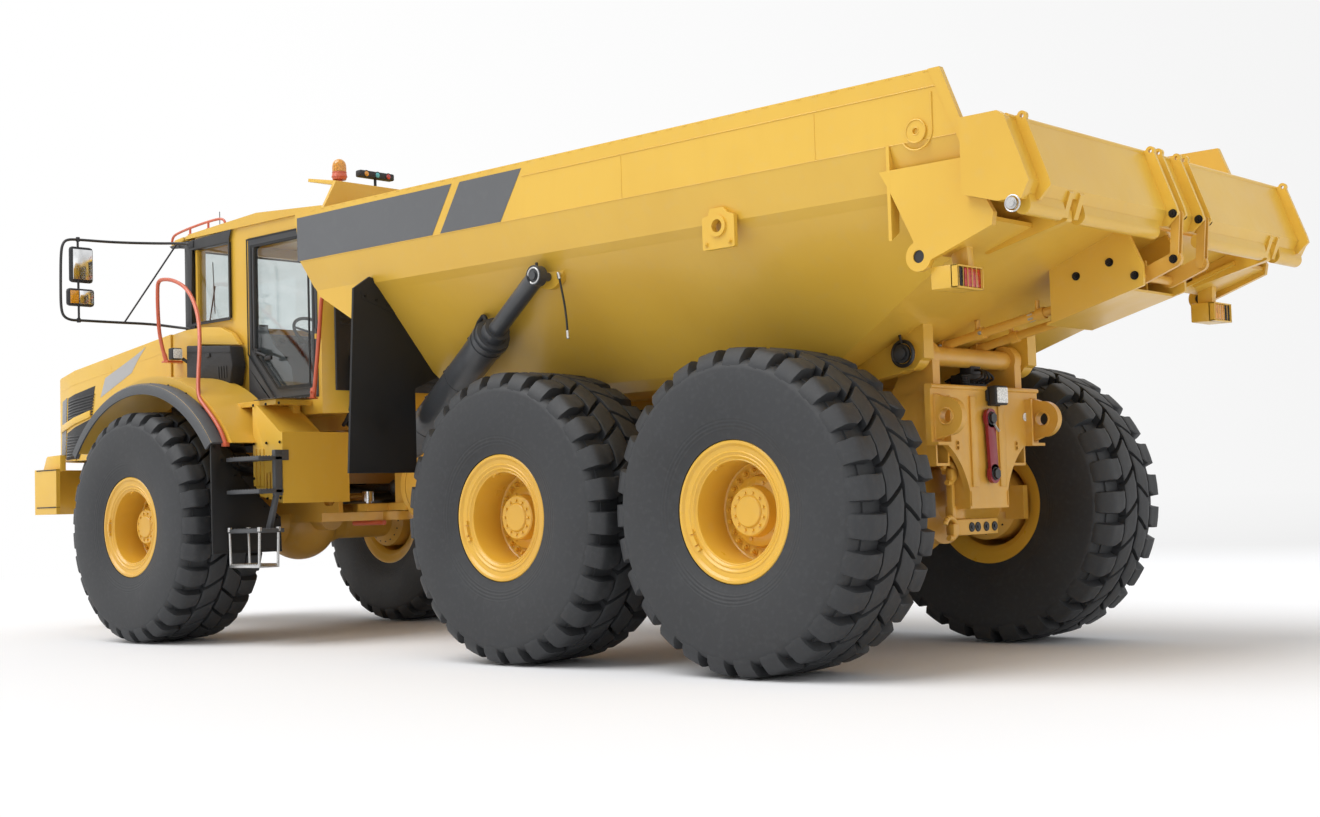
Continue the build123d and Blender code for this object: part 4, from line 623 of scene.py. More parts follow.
def addLug(mesh, inner, outer, steps, middleAt, halfAt, turn, side):
    lug = bmesh.new()
    grid = bmesh.ops.create_grid(lug, x_segments=steps, y_segments=2, size=1)["verts"]
    for v in grid:
        u = inner + (outer - inner) * (v.co.x + 1) / 2
        v.co = Vector((u, middleAt(u) + v.co.y * halfAt(u), 0))
    top = lug.faces[:]
    grown = bmesh.ops.extrude_face_region(lug, geom=top, use_keep_orig=False)["geom"]
    raised = [g for g in grown if isinstance(g, bmesh.types.BMVert)]
    for v in lug.verts:
        if v not in raised:
            v.co.z = -grooveDepth(v.co.x) - 0.006
            v.co.y = middleAt(v.co.x) + (v.co.y - middleAt(v.co.x)) * 1.16
    raisedSet = set(raised)
    rims = [e for e in lug.edges if set(e.verts) <= raisedSet and
            any(abs(f.normal.z) < 0.9 or min(v.co.z for v in f.verts) < -0.001 for f in e.link_faces)]
    bmesh.ops.bevel(lug, geom=rims, offset=tyre["chamfer"], offset_type="OFFSET", segments=1, profile=0.5,
                    affect="EDGES", material=-1)
    for v in lug.verts:
        v.co = aroundWheel(Vector((v.co.x, v.co.y + turn, v.co.z)), side)
    bmesh.ops.recalc_face_normals(lug, faces=lug.faces)
    joinInto(mesh, lug)


def tyreForm():
    mesh = bmesh.new()
    stations = [0.0, 0.08, 0.16, 0.24, 0.30, 0.33, 0.36, 0.39, 0.42, 0.445, 0.47, 0.50, 0.55, 0.60, 0.65,
                0.70, 0.75, 0.80, 0.84, 0.872]
    half = []
    for u in stations:
        place, out = wallPoint(u)
        half.append(place - out * grooveDepth(u))
    # raised ring at the lugs' feet, then the bead's step into the rim
    half += [Vector((0.3375, 0.409)), Vector((0.322, 0.4065)), Vector((0.316, 0.398)), Vector((0.316, 0.345))]
    section = [Vector((-p.y, p.x, 0)) for p in reversed(half)] + [Vector((-p.y, -p.x, 0)) for p in half[1:]]
    chain = [mesh.verts.new(p) for p in section]
    edges = [mesh.edges.new(pair) for pair in zip(chain, chain[1:])]
    edges.append(mesh.edges.new((chain[-1], chain[0])))
    spunRound(mesh, chain + edges, (0, 1, 0), tyre["steps"], 0.0001)
    pitch = 2 * pi * tyre["radius"] / tyre["lugs"]
    for side in (1, -1):
        for count in range(tyre["lugs"]):
            turn = pitch * (count + (0 if side > 0 else 0.5))
            addLug(mesh, 0.168, 0.452, 9,
                   lambda u: 0.018 * max(0.0, (0.22 - u) / 0.05),
                   lambda u: tyre["outerLug"] / 2 * (1 - 0.16 * max(0.0, (0.23 - u) / 0.06)), turn, side)
            addLug(mesh, 0.012, 0.156, 4,
                   lambda u: tyre["lean"] * (0.156 - u) + 0.012, lambda u: tyre["innerLug"] / 2, turn, side)
    return mesh


tyreData = meshData("tyreMaster", tyreForm())
radiusAt = tyreData.attributes.new("wheelRadius", "FLOAT", "POINT")
radiusAt.data.foreach_set("value", [hypot(v.co.x, v.co.z) for v in tyreData.vertices])
print("tyre shaped:", len(tyreData.polygons), "faces")

wheels = [(axle, side, sign) for axle in ("front", "middle", "rear") for side, sign in sides]
for number, (axle, side, sign) in enumerate(wheels):
    node = f"tyre_{axle}_{side}"
    data = tyreData.copy()
    data.name = f"treadedTyre_{axle}_{side}"
    data.transform(Matrix.Translation(centreOf(node)) @ Matrix.Rotation(radians(5.1 * number), 4, "Y"))
    piece = newObject(data.name, data)
    data.materials.append(treadRubber)
    data.shade_smooth()
    data.set_sharp_from_angle(angle=radians(38))
    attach(piece, f"wheel_{axle}_{side}")
    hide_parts(node)
bpy.data.meshes.remove(tyreData)
print("tyres fitted")

# rims
# rings of fixings: count, share of a step turned, circle, seat, then rods as (from, to, radius, corners)
rimFixings = [(24, 0, 0.243, 0.066, [(-0.004, 0.005, 0.022, 14), (0, 0.026, 0.0155, 6),
                                     (0, 0.034, 0.009, 8)]),
              (12, 0.5, 0.108, 0.192, [(0, 0.011, 0.009, 6)]),
              (6, 0.25, 0.165, 0.116, [(0, 0.012, 0.012, 6)])]
# outside face to inside face, as distance outboard of the wheel's middle and radius
rimSection = [(-0.333, 0.4055), (-0.318, 0.4055), (-0.316, 0.396), (-0.316, 0.333), (-0.30, 0.320),
              (0.300, 0.320),
              (0.316, 0.333), (0.316, 0.396), (0.318, 0.4055), (0.331, 0.4055), (0.3355, 0.400),
              (0.3355, 0.386),
              (0.331, 0.381), (0.322, 0.372), (0.319, 0.345), (0.3225, 0.341), (0.3225, 0.336),
              (0.318, 0.332),
              (0.314, 0.322), (0.317, 0.318), (0.317, 0.313), (0.312, 0.309), (0.304, 0.300), (0.306, 0.296),
              (0.304, 0.291), (0.292, 0.288), (0.072, 0.288), (0.066, 0.280), (0.066, 0.212), (0.074, 0.206),
              (0.105, 0.200), (0.118, 0.178), (0.122, 0.150), (0.128, 0.146), (0.185, 0.142), (0.192, 0.134),
              (0.193, 0.094), (0.200, 0.090), (0.2045, 0.084), (0.2045, 0.030), (0.2045, 0.0)]
rimBack = [(-0.333, 0.398), (-0.324, 0.372), (-0.318, 0.340), (-0.300, 0.302), (-0.285, 0.290),
           (0.034, 0.288), (0.040, 0.280), (0.040, 0.125), (0.176, 0.120), (0.176, 0.0)]


def rimForm():
    mesh = bmesh.new()
    profile = list(reversed(rimBack)) + rimSection
    chain = [mesh.verts.new((r, y, 0)) for y, r in profile]
    edges = [mesh.edges.new(pair) for pair in zip(chain, chain[1:])]
    spunRound(mesh, chain + edges, (0, 1, 0), 72, 0.0001)
    outward = Vector((0, 1, 0))
    for count, share, circle, seat, rods in rimFixings:
        for number in range(count):
            angle = 2 * pi * (number + share) / count
            place = Vector((circle * cos(angle), seat, circle * sin(angle)))
            for start, end, radius, corners in rods:
                addRod(mesh, place + outward * start, place + outward * end, radius, corners)
    # lock ring's driver block and its two clips
    for turn, half, reach in ((0.0, 0.030, 0.016), (0.16, 0.012, 0.012), (-0.16, 0.012, 0.012)):
        block = addBlock(mesh, Vector((0.325, 0.312, -half)), Vector((0.352, 0.322 + reach, half)))
        bmesh.ops.rotate(mesh, verts=block, cent=(0, 0, 0), matrix=Matrix.Rotation(turn, 3, "Y"))
    # air valve and its guard
    addRod(mesh, Vector((0, 0.285, 0.296)), Vector((0, 0.322, 0.272)), 0.006, 10)
    addBlock(mesh, Vector((-0.02, 0.27, 0.284)), Vector((0.02, 0.30, 0.292)))
    return mesh


for number, (axle, side, sign) in enumerate(wheels):
    node = f"rim_{axle}_{side}"
    mesh = rimForm()
    if sign < 0:
        bmesh.ops.scale(mesh, vec=(1, -1, 1), verts=mesh.verts)
    bmesh.ops.rotate(mesh, verts=mesh.verts, cent=(0, 0, 0),
                     matrix=Matrix.Rotation(radians(7 * number), 3, "Y"))
    wheelMiddle = centreOf(f"tyre_{axle}_{side}")
    bmesh.ops.translate(mesh, verts=mesh.verts, vec=wheelMiddle)
    piece = finishPiece(f"deepRim_{axle}_{side}", mesh, rimPaint, f"wheel_{axle}_{side}",
                        smooth=32)
    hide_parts(node)
print("rims fitted")

# which body carries each CAD node
bodyOf = {node: body for body, nodes in frame["record"]["behaviour"]["bodies"].items() for node in nodes}


def drawnPlate(mesh, corners, run, soft=0.0):
    # a flat outline drawn out along run, its edges softened
    part = bmesh.new()
    face = part.faces.new([part.verts.new(p) for p in corners])
    grown = bmesh.ops.extrude_face_region(part, geom=[face], use_keep_orig=True)["geom"]
    bmesh.ops.translate(part, verts=[g for g in grown if isinstance(g, bmesh.types.BMVert)], vec=run)
    bmesh.ops.recalc_face_normals(part, faces=part.faces)
    if soft:
        bmesh.ops.bevel(part, geom=part.edges[:], offset=soft, offset_type="OFFSET", segments=2,
                        profile=0.5, affect="EDGES", material=-1)
    joinInto(mesh, part)


def sidePlate(mesh, outline, yFrom, yTo, soft=0.0):
    drawnPlate(mesh, [at(x, yFrom, z) for x, z in outline], Vector((0, (yTo - yFrom) / 1000, 0)), soft)


def crossPlate(mesh, outline, xFrom, xTo, soft=0.0):
    drawnPlate(mesh, [at(xFrom, y, z) for y, z in outline], Vector(((xTo - xFrom) / 1000, 0, 0)), soft)


def softBlock(mesh, low, high, soft=0.004):
    # millimetre corners, as the CAD's own blocks
    sidePlate(mesh, [(low[0], low[2]), (high[0], low[2]), (high[0], high[2]), (low[0], high[2])],
              low[1], high[1], soft)


def addRing(mesh, centre, way, radius, thick, around=32, sides=10):
    part = bmesh.new()
    circle = bmesh.ops.create_circle(part, cap_ends=False, segments=sides, radius=thick)["verts"]
    bmesh.ops.rotate(part, verts=circle, cent=(0, 0, 0), matrix=Matrix.Rotation(radians(90), 3, "X"))
    bmesh.ops.translate(part, verts=circle, vec=(radius, 0, 0))
    spunRound(part, part.verts[:] + part.edges[:], (0, 0, 1), around, 0.00001)
    turn = way.to_track_quat("Z", "Y").to_matrix().to_4x4()
    bmesh.ops.transform(part, matrix=Matrix.Translation(centre) @ turn, verts=part.verts)
    joinInto(mesh, part)


def addPin(mesh, centre, way, radius, reach):
    # a turned pin end with a stepped cap
    way = way.normalized()
    addRod(mesh, centre, centre + way * reach * 0.6, radius, 28)
    addRod(mesh, centre, centre + way * reach, radius * 0.72, 28, radius * 0.66)


def boltRing(mesh, centre, way, radius, count, size, height):
    way = way.normalized()
    square = way.orthogonal().normalized()
    for number in range(count):
        out = square.copy()
        out.rotate(Matrix.Rotation(2 * pi * number / count, 3, way))
        place = centre + out * radius
        addRod(mesh, place - way * 0.003, place + way * height, size, 6)


def softEdged(node, width, finish):
    # the node's own shape with its edges rolled over
    mesh = bmesh.new()
    mesh.from_mesh(frame["nodes"][node].data)
    bmesh.ops.remove_doubles(mesh, verts=mesh.verts, dist=0.00005)
    bmesh.ops.dissolve_limit(mesh, angle_limit=radians(1.5), verts=mesh.verts, edges=mesh.edges)
    piece = finishPiece(f"rolled_{node}", mesh, finish, bodyOf[node], smooth=40, bevel=width,
                        closed=False)
    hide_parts(node)


# sheet-metal covers with rolled edges
rolledEdges = {"hood": 0.028, "bumper": 0.022, "cab_shell": 0.014, "side_boxes": 0.008, "spill_guard": 0.004,
               "tow_plate": 0.004}
for node, width in rolledEdges.items():
    softEdged(node, width, framePaint if node == "tow_plate" else yellowPaint)
print("covers rolled")

# body stripes, blank, and the marks along the sides
stripe = {"front": [(4092, 2834), (4092, 3150), (2372, 3150), (2578, 2834)],
          "rear": [(2496, 2834), (2290, 3150), (1695, 3150), (1901, 2834)], "face": 1620.4, "proud": 1.6}
for side, sign in sides:
    mesh = bmesh.new()
    for outline in (stripe["front"], stripe["rear"]):
        sidePlate(mesh, outline, sign * stripe["face"], sign * (stripe["face"] + stripe["proud"]))
    finishPiece(f"bodyStripe_{side}", mesh, stripeFilm, "dump_body")

bodyMarks = {"bead": 0.0035, "seams": (-640, 820), "eye": (-1300, 2880), "beadEnd": 1690}
for side, sign in sides:
    mesh = bmesh.new()
    # weld beads: down the side's seams, along both folds and round the lifting eye
    for x in bodyMarks["seams"]:
        addRod(mesh, at(x, sign * 1620.5, 2836), at(x, sign * 1620.5, 3096), bodyMarks["bead"] * 0.7, 8)
    addRod(mesh, at(-1455, sign * 1621, 3098), at(bodyMarks["beadEnd"], sign * 1621, 3098), bodyMarks["bead"],
           8)
    addRod(mesh, at(-1540, sign * 1620.5, 2830), at(4058, sign * 1620.5, 2830), bodyMarks["bead"] * 0.8, 8)
    eye = at(bodyMarks["eye"][0], sign * 1630, bodyMarks["eye"][1])
    addRing(mesh, eye, Vector((0, sign, 0)), 0.060, 0.005)
    addRing(mesh, eye, Vector((0, sign, 0)), 0.020, 0.003)
    # the strap that curls round the eye and runs up to the rail
    hook = [at(-1300 - 98 * cos(radians(a)), sign * 1622, 2880 - 98 * sin(radians(a))) for a in range(-8, 150,
                                                                                                      14)]
    hook = [at(-1398, sign * 1622, 3070)] + hook
    for start, end in zip(hook, hook[1:]):
        addRod(mesh, start, end, 0.0055, 8)
    # tie-down lug: its two bolts
    for k in (-1, 1):
        addBolt(mesh, at(100 + k * 88, sign * 1585, 2476), Vector((0, sign, 0)), 0.012, 0.012)
    # stitch welds under the rail's upper edge
    for k in range(46):
        x = -1400 + k * 120
        addRod(mesh, at(x, sign * 1620, 3182), at(x + 46, sign * 1620, 3182), 0.0022, 6)
    finishPiece(f"bodyMarks_{side}", mesh, yellowPaint, "dump_body")

for side, sign in sides:
    mesh = bmesh.new()
    addRod(mesh, at(-1290, sign * 1604, 2228), at(-1290, sign * 1622, 2228), 0.0335, 28)
    finishPiece(f"armPlug_{side}", mesh, blackPaint, "dump_body")
    mesh = bmesh.new()
    addPin(mesh, at(-1890, sign * 1687.5, 2415), Vector((0, sign, 0)), 0.030, 0.022)
    addRing(mesh, at(-1890, sign * 1688, 2415), Vector((0, sign, 0)), 0.040, 0.005)
    finishPiece(f"gatePinCap_{side}", mesh, brightSteel, "tailgate")
    mesh = bmesh.new()
    tipPin = at(-510, sign * 671, 1830)
    addPin(mesh, tipPin, Vector((0, sign, 0)), 0.056, 0.034)
    addRing(mesh, tipPin, Vector((0, sign, 0)), 0.072, 0.012)
    addRing(mesh, tipPin + Vector((0, sign * 0.012, 0)), Vector((0, sign, 0)), 0.044, 0.006)
    # grease hose up from the pin to the chute
    addRod(mesh, tipPin + Vector((0, sign * 0.01, 0.06)), tipPin + Vector((0.02, sign * 0.012, 0.155)), 0.008,
           10)
    addRod(mesh, tipPin + Vector((0.012, sign * 0.012, 0.12)), tipPin + Vector((0.02, sign * 0.012, 0.160)),
           0.014, 6)
    finishPiece(f"tipPinCap_{side}", mesh, blackPaint, "rear_unit")
print("body marks made")

# tail lamps: a yellow box with upright guard bars over an amber and a red lens
tail = {"low": (-1500, 1350, 2050), "high": (-1340, 1600, 2170), "bars": 6, "depth": 26}
lampShell = bmesh.new()
lampLens = {redLens: bmesh.new(), amberLens: bmesh.new()}
lampDark = bmesh.new()
for side, sign in sides:
    x0, x1 = tail["low"][0], tail["high"][0]
    y0, y1 = tail["low"][1], tail["high"][1]
    z0, z1 = tail["low"][2], tail["high"][2]
    # shell: back, top, bottom and the two ends round an open face
    softBlock(lampShell, (x0 + tail["depth"], sign * y0, z0), (x1, sign * y1, z1), 0.006)
    for low, high in (((x0, y0, z0), (x0 + 40, y1, z0 + 9)), ((x0, y0, z1 - 9), (x0 + 40, y1, z1)),
                      ((x0, y0, z0), (x0 + 40, y0 + 9, z1)), ((x0, y1 - 9, z0), (x0 + 40, y1, z1))):
        softBlock(lampShell, (low[0], sign * low[1], low[2]), (high[0], sign * high[1], high[2]), 0.002)
    for count in range(tail["bars"]):
        y = y0 + 20 + count * (y1 - y0 - 40) / (tail["bars"] - 1)
        addRod(lampShell, at(x0 + 3, sign * y, z0 + 5), at(x0 + 3, sign * y, z1 - 5), 0.0022, 8)
    middle = (y0 + y1) / 2
    softBlock(lampLens[amberLens if sign < 0 else redLens], (x0 + 8, sign * (y0 + 12), z0 + 12),
              (x0 + 27, sign * (middle + 40), z1 - 12), 0.003)
    softBlock(lampDark, (x0 + 10, sign * (middle + 44), z0 + 12), (x0 + 27, sign * (y1 - 12), z1 - 12), 0.002)
    for k in (0, 1):
        for j in (0, 1, 2):
            spot = at(x0 + 6, sign * (middle + 62 + 22 * k), z0 + 36 + 24 * j)
            addRod(lampDark, spot, spot + Vector((0.004, 0, 0)), 0.008, 12)
    # hanger up to the chute
    crossPlate(lampShell, [(sign * 1388, 2165), (sign * 1442, 2165), (sign * 1470, 2440),
                           (sign * 1400, 2400)],
               -1470, -1372, 0.003)
lampPiece = finishPiece("tailLampBoxes", lampShell, yellowPaint, "dump_body")
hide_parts("tail_lamps")
finishPiece("tailLampDark", lampDark, blackPlastic, "dump_body")
for count, (finish, mesh) in enumerate(lampLens.items()):
    finishPiece(("tailLensRed", "tailLensAmber")[count], mesh, finish, "dump_body")
print("tail lamps made")

# beacon and three-lamp bar over the guard
beacon = {"place": (4200, 1150), "base": 3485, "dome": 0.052}
baseMesh, domeMesh = bmesh.new(), bmesh.new()
foot = at(beacon["place"][0], beacon["place"][1], beacon["base"])
up = Vector((0, 0, 1))
addRod(baseMesh, foot, foot + up * 0.022, 0.022, 20)
addRod(baseMesh, foot + up * 0.020, foot + up * 0.040, 0.050, 32, 0.056)
addRod(baseMesh, foot + up * 0.040, foot + up * 0.074, 0.060, 32, 0.052)
addRing(baseMesh, foot + up * 0.074, up, 0.051, 0.005)
domeTop = bmesh.ops.create_uvsphere(domeMesh, u_segments=28, v_segments=16, radius=beacon["dome"],
                                    matrix=Matrix.Translation(foot + up * 0.128))["verts"]
for v in domeTop:
    if v.co.z < foot.z + 0.128:
        v.co.z = foot.z + 0.078 + (v.co.z - foot.z - 0.128 + beacon["dome"]) * 0.05 / beacon["dome"]
        spread = Vector((v.co.x - foot.x, v.co.y - foot.y, 0))
        if spread.length > 0.002:
            v.co.x, v.co.y = (foot + spread.normalized() * min(beacon["dome"] * 0.96, spread.length * 3)).xy
for count in range(12):
    angle = 2 * pi * count / 12
    edge = foot + Vector((0.0505 * cos(angle), 0.0505 * sin(angle), 0))
    addRod(domeMesh, edge + up * 0.080, edge + up * 0.130, 0.0025, 6)
beaconPiece = finishPiece("beaconBase", baseMesh, orangePaint, "dump_body")
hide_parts("warning_lights")
finishPiece("beaconDome", domeMesh, amberLens, "dump_body", smooth=60)

lampBar = {"low": (4178, 640, 3552), "high": (4242, 970, 3606), "post": (4210, 805)}
mesh = bmesh.new()
softBlock(mesh, lampBar["low"], lampBar["high"], 0.012)
for y in (700, 805, 910):
    addRing(mesh, at(4178, y, 3579), Vector((-1, 0, 0)), 0.024, 0.004, 24)
addRod(mesh, at(*lampBar["post"], 3486), at(*lampBar["post"], 3556), 0.011, 16)
softBlock(mesh, (4190, 780, 3482), (4230, 830, 3490), 0.002)
finishPiece("lampBar", mesh, blackPlastic, "dump_body")
for y, finish, name in ((700, redLens, "lampBarRed"), (805, blueLens, "lampBarGreen"),
                        (910, amberLens, "lampBarAmber")):
    mesh = bmesh.new()
    bmesh.ops.create_uvsphere(mesh, u_segments=20, v_segments=12, radius=0.022,
                              matrix=Matrix.Translation(at(4180, y, 3579)) @ Matrix.Diagonal((0.5, 1, 1, 1)))
    finishPiece(name, mesh, finish, "dump_body", smooth=60)
print("beacon and lamp bar made")

# hoists: bolted glands, worn bright eyes and the bands that hold the hose
hoistLine = {"base": (3660, 950, 1490), "eye": (1650, 1550, 2462), "eyeFace": 1580.5, "longest": 1.56}


def onSide(sign, point):
    return at(point[0], sign * point[1], point[2])


def alongHoist(sign, distance):
    base, eye = onSide(sign, hoistLine["base"]), onSide(sign, hoistLine["eye"])
    return base + (eye - base).normalized() * distance, (eye - base).normalized()


for side, sign in sides:
    low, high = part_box(f"hoist_barrel_{side}")
    base, way = alongHoist(sign, 0)
    reach = max((corner - base).dot(way) for corner in
                (Vector((low.x, (high if sign > 0 else low).y, high.z)),
                 Vector((low.x, low.y, high.z)))) - 0.09
    reach = min(reach, hoistLine["longest"])
    mesh = bmesh.new()
    for distance, radius, length in ((0.30, 0.1215, 0.030), (reach * 0.62, 0.1215, 0.026),
                                     (reach - 0.13, 0.124, 0.050), (reach - 0.05, 0.129, 0.036)):
        place = alongHoist(sign, distance)[0]
        addRod(mesh, place, place + way * length, radius, 40)
    boltRing(mesh, alongHoist(sign, reach - 0.014)[0], way, 0.108, 12, 0.008, 0.010)
    finishPiece(f"hoistBands_{side}", mesh, graphitePaint, f"hoist_barrel_{side}")
    mesh = bmesh.new()
    eye = at(hoistLine["eye"][0], sign * hoistLine["eyeFace"], hoistLine["eye"][2])
    out = Vector((0, sign, 0))
    addRing(mesh, eye, out, 0.050, 0.007)
    addRod(mesh, eye - out * 0.002, eye + out * 0.010, 0.027, 28)
    finishPiece(f"hoistEyeRing_{side}", mesh, brightSteel, f"hoist_rod_{side}")
    mesh = bmesh.new()
    addRing(mesh, eye, out, 0.061, 0.006)
    addRod(mesh, eye + Vector((0, -sign * 0.03, 0.062)), eye + Vector((0, -sign * 0.03, 0.085)), 0.010, 6)
    finishPiece(f"hoistEyeCap_{side}", mesh, blackPaint, f"hoist_rod_{side}")
print("hoists dressed")

# tow plate: stay bar on its pins with a chain, and the rear lamp
towFace = -643
stayBar = {"top": (-668, 8, 1455), "foot": (-668, -12, 1118), "wide": 44}
mesh = bmesh.new()
run = at(*stayBar["top"]) - at(*stayBar["foot"])
across = Vector((0, run.z, -run.y)).normalized() * stayBar["wide"] / 1000
back = Vector((0.012, 0, 0))
for centre in (stayBar["top"], stayBar["foot"]):
    addRod(mesh, at(*centre) - back, at(*centre) + back, 0.058, 32)
drawnPlate(mesh, [at(*stayBar["foot"]) - across - back, at(*stayBar["foot"]) + across - back,
                  at(*stayBar["top"]) + across - back, at(*stayBar["top"]) - across - back],
           Vector((0.024, 0, 0)), 0.004)
finishPiece("stayBar", mesh, redPaint, "rear_unit")
mesh = bmesh.new()
for centre in (stayBar["top"], stayBar["foot"]):
    place = at(*centre)
    addRod(mesh, at(towFace, centre[1], centre[2]), place - Vector((0.020, 0, 0)), 0.024, 24)
    addRod(mesh, place - Vector((0.020, 0, 0)), place - Vector((0.032, 0, 0)), 0.034, 6)
    addRing(mesh, place - Vector((0.013, 0, 0)), Vector((-1, 0, 0)), 0.036, 0.005)
finishPiece("stayBarPins", mesh, blackPaint, "rear_unit")
mesh = bmesh.new()
for count in range(9):
    # chain from the top pin, one link on edge and one flat
    place = at(-686, -4 - 7 * count, 1428 - 9 * count + 0.35 * count * count)
    addRing(mesh, place, Vector((1, 0, 0)) if count % 2 else Vector((0, 1, 0.6)).normalized(), 0.0075, 0.0022,
            14, 6)
finishPiece("stayBarChain", mesh, brightSteel, "rear_unit")

mesh = bmesh.new()
softBlock(mesh, (-716, -134, 1534), (-664, 6, 1652), 0.010)
softBlock(mesh, (-664, -90, 1560), (towFace, 10, 1630), 0.004)
for count in range(7):
    y = -126 + count * 20
    softBlock(mesh, (-664, y, 1530), (-652, y + 8, 1648), 0.002)
finishPiece("rearLampHousing", mesh, blackPlastic, "rear_unit")
mesh = bmesh.new()
softBlock(mesh, (-724, -122, 1546), (-714, -6, 1640), 0.006)
finishPiece("rearLampFace", mesh, whiteLens, "rear_unit")

# brake valve block between the tip pivots, with its ports, spring and pipes
mesh = bmesh.new()
softBlock(mesh, (-560, -150, 1640), (-430, 60, 1730), 0.008)
softBlock(mesh, (-545, -110, 1730), (-460, 0, 1790), 0.006)
for y in (-120, -70, -20, 30):
    addRod(mesh, at(-560, y, 1685), at(-586, y, 1685), 0.014, 6)
    addRod(mesh, at(-586, y, 1685), at(-600, y, 1690), 0.009, 12)
for y, z in ((-90, 1790), (-30, 1790)):
    addRod(mesh, at(-500, y, z), at(-500, y, z + 42), 0.020, 20)
    addRod(mesh, at(-500, y, z + 42), at(-500, y, z + 56), 0.012, 6)
for turn in range(7):
    addRing(mesh, at(-560, 110, 1650 + turn * 11), Vector((0, 0, 1)), 0.020, 0.004, 18, 6)
finishPiece("valveBlock", mesh, blackPlastic, "rear_unit")
for number, (y, bend) in enumerate(((-120, 60), (-70, 20), (-20, -20), (30, -70))):
    tubeAlong(f"valvePipe_{number}", [at(-600, y, 1690), at(-628, y, 1696), at(-630, y + bend * 0.4, 1720),
                                      at(-600, y + bend, 1752), at(-540, y + bend, 1760),
                                      at(-430, y + bend, 1742), at(-330, y + bend, 1700)],
              0.008, blackRubber, "rear_unit")

mesh = bmesh.new()
for sign in (1, -1):
    addRod(mesh, at(towFace - 2, sign * 440, 1470), at(towFace - 6, sign * 440, 1470), 0.026, 24)
finishPiece("towReflectors", mesh, whiteLens, "rear_unit")
mesh = bmesh.new()
for sign in (1, -1):
    # rings in the ears, weld beads down the ears and round the plate's foot
    for face in (-1, 1):
        addRing(mesh, at(-720, sign * 540 + face * 25.5, 1455), Vector((0, 1, 0)), 0.047, 0.006)
    addRod(mesh, at(towFace, sign * 513, 1320), at(towFace, sign * 513, 1580), 0.006, 8)
    addRod(mesh, at(towFace, sign * 567, 1320), at(towFace, sign * 567, 1580), 0.006, 8)
    addRing(mesh, at(towFace + 1, sign * 330, 1303), Vector((1, 0, 0)), 0.0155, 0.003)
    addRing(mesh, at(towFace + 1, sign * 330, 1277), Vector((1, 0, 0)), 0.0155, 0.003)
    addRod(mesh, at(towFace, sign * 205, 925), at(towFace, sign * 205, 1015), 0.004, 8)
# pressed channel up the plate, behind the stay bar
for y in (-190, 120):
    softBlock(mesh, (towFace - 9, y, 1040), (towFace + 4, y + 70, 1585), 0.004)
finishPiece("towPlateTrim", mesh, framePaint, "rear_unit")

# port bank under the plate, its cast hooks and the box that carries them
mesh = bmesh.new()
softBlock(mesh, (-560, -215, 752), (-470, 235, 850), 0.010)
softBlock(mesh, (-540, 120, 850), (-470, 235, 930), 0.008)
for z in (1130, 800):
    # cast hooks on the left, curled round the pipes
    hook = [at(-540 - 8, 300 + 62 * cos(radians(a)), z + 62 * sin(radians(a))) for a in range(20, 291, 18)]
    for start, end in zip(hook, hook[1:]):
        addRod(mesh, start, end, 0.017, 12)
    softBlock(mesh, (-565, 225, z - 46), (-525, 290, z + 24), 0.008)
softBlock(mesh, (-545, 228, 760), (-500, 262, 1160), 0.008)
softBlock(mesh, (-520, 150, 1120), (-470, 262, 1160), 0.008)
finishPiece("portBank", mesh, framePaint, "rear_unit")
mesh = bmesh.new()
for y in (88, 20, -75, -168):
    addRing(mesh, at(-562, y, 800), Vector((-1, 0, 0)), 0.024, 0.006, 20, 8)
    addRod(mesh, at(-559, y, 800), at(-566, y, 800), 0.022, 20)
    addRod(mesh, at(-560, y, 800), at(-572, y, 800), 0.012, 6)
finishPiece("portPlugs", mesh, blackPaint, "rear_unit")
print("tow plate dressed")

# tailgate links: black bolts with washers at every pin, and the plugs in the linkage box
gateBolts = {"tailgate": ((-2010, 2500, 218), (-2010, 2500, 97)), "gate_links": ((-1985, 2255, 185),),
             "dump_body": ((-1790, 2180, 262.5), (-1430, 2215, 262.5), (-1640, 2270, 262.5))}
for body, places in gateBolts.items():
    mesh = bmesh.new()
    for sign in (1, -1):
        for x, z, y in places:
            out = Vector((0, sign if y != 97 else -sign, 0))
            addBolt(mesh, at(x, sign * y, z), out, 0.019, 0.018)
    finishPiece(f"gateBolts_{body}", mesh, boltSteel, body)

pushRod = {"front": (-330, 190, 1872), "rear": (-1262, 190, 2052)}
mesh = bmesh.new()
for sign in (1, -1):
    # push rods under the chute, with their clamps
    start, end = onSide(sign, pushRod["front"]), onSide(sign, pushRod["rear"])
    addRod(mesh, start, end, 0.027, 24)
    for share in (0.12, 0.42, 0.86):
        place = start.lerp(end, share)
        addRod(mesh, place, place + (end - start).normalized() * 0.05, 0.036, 24)
        addRod(mesh, place + Vector((0, 0, 0.02)), place + Vector((0, 0, 0.085)), 0.014, 12)
finishPiece("gatePushRods", mesh, framePaint, "dump_body")
mesh = bmesh.new()
for sign in (1, -1):
    start, end = onSide(sign, pushRod["front"]), onSide(sign, pushRod["rear"])
    way = (end - start).normalized()
    addRod(mesh, end - way * 0.16, end - way * 0.02, 0.018, 20)
    addRod(mesh, end - way * 0.19, end - way * 0.155, 0.030, 6)
    for share in (0.13, 0.43):
        place = start.lerp(end, share) + way * 0.025
        addBolt(mesh, place + Vector((0, sign * 0.036, 0)), Vector((0, sign, 0)), 0.010, 0.012)
finishPiece("gateRodEnds", mesh, brightSteel, "dump_body")
print("tailgate dressed")
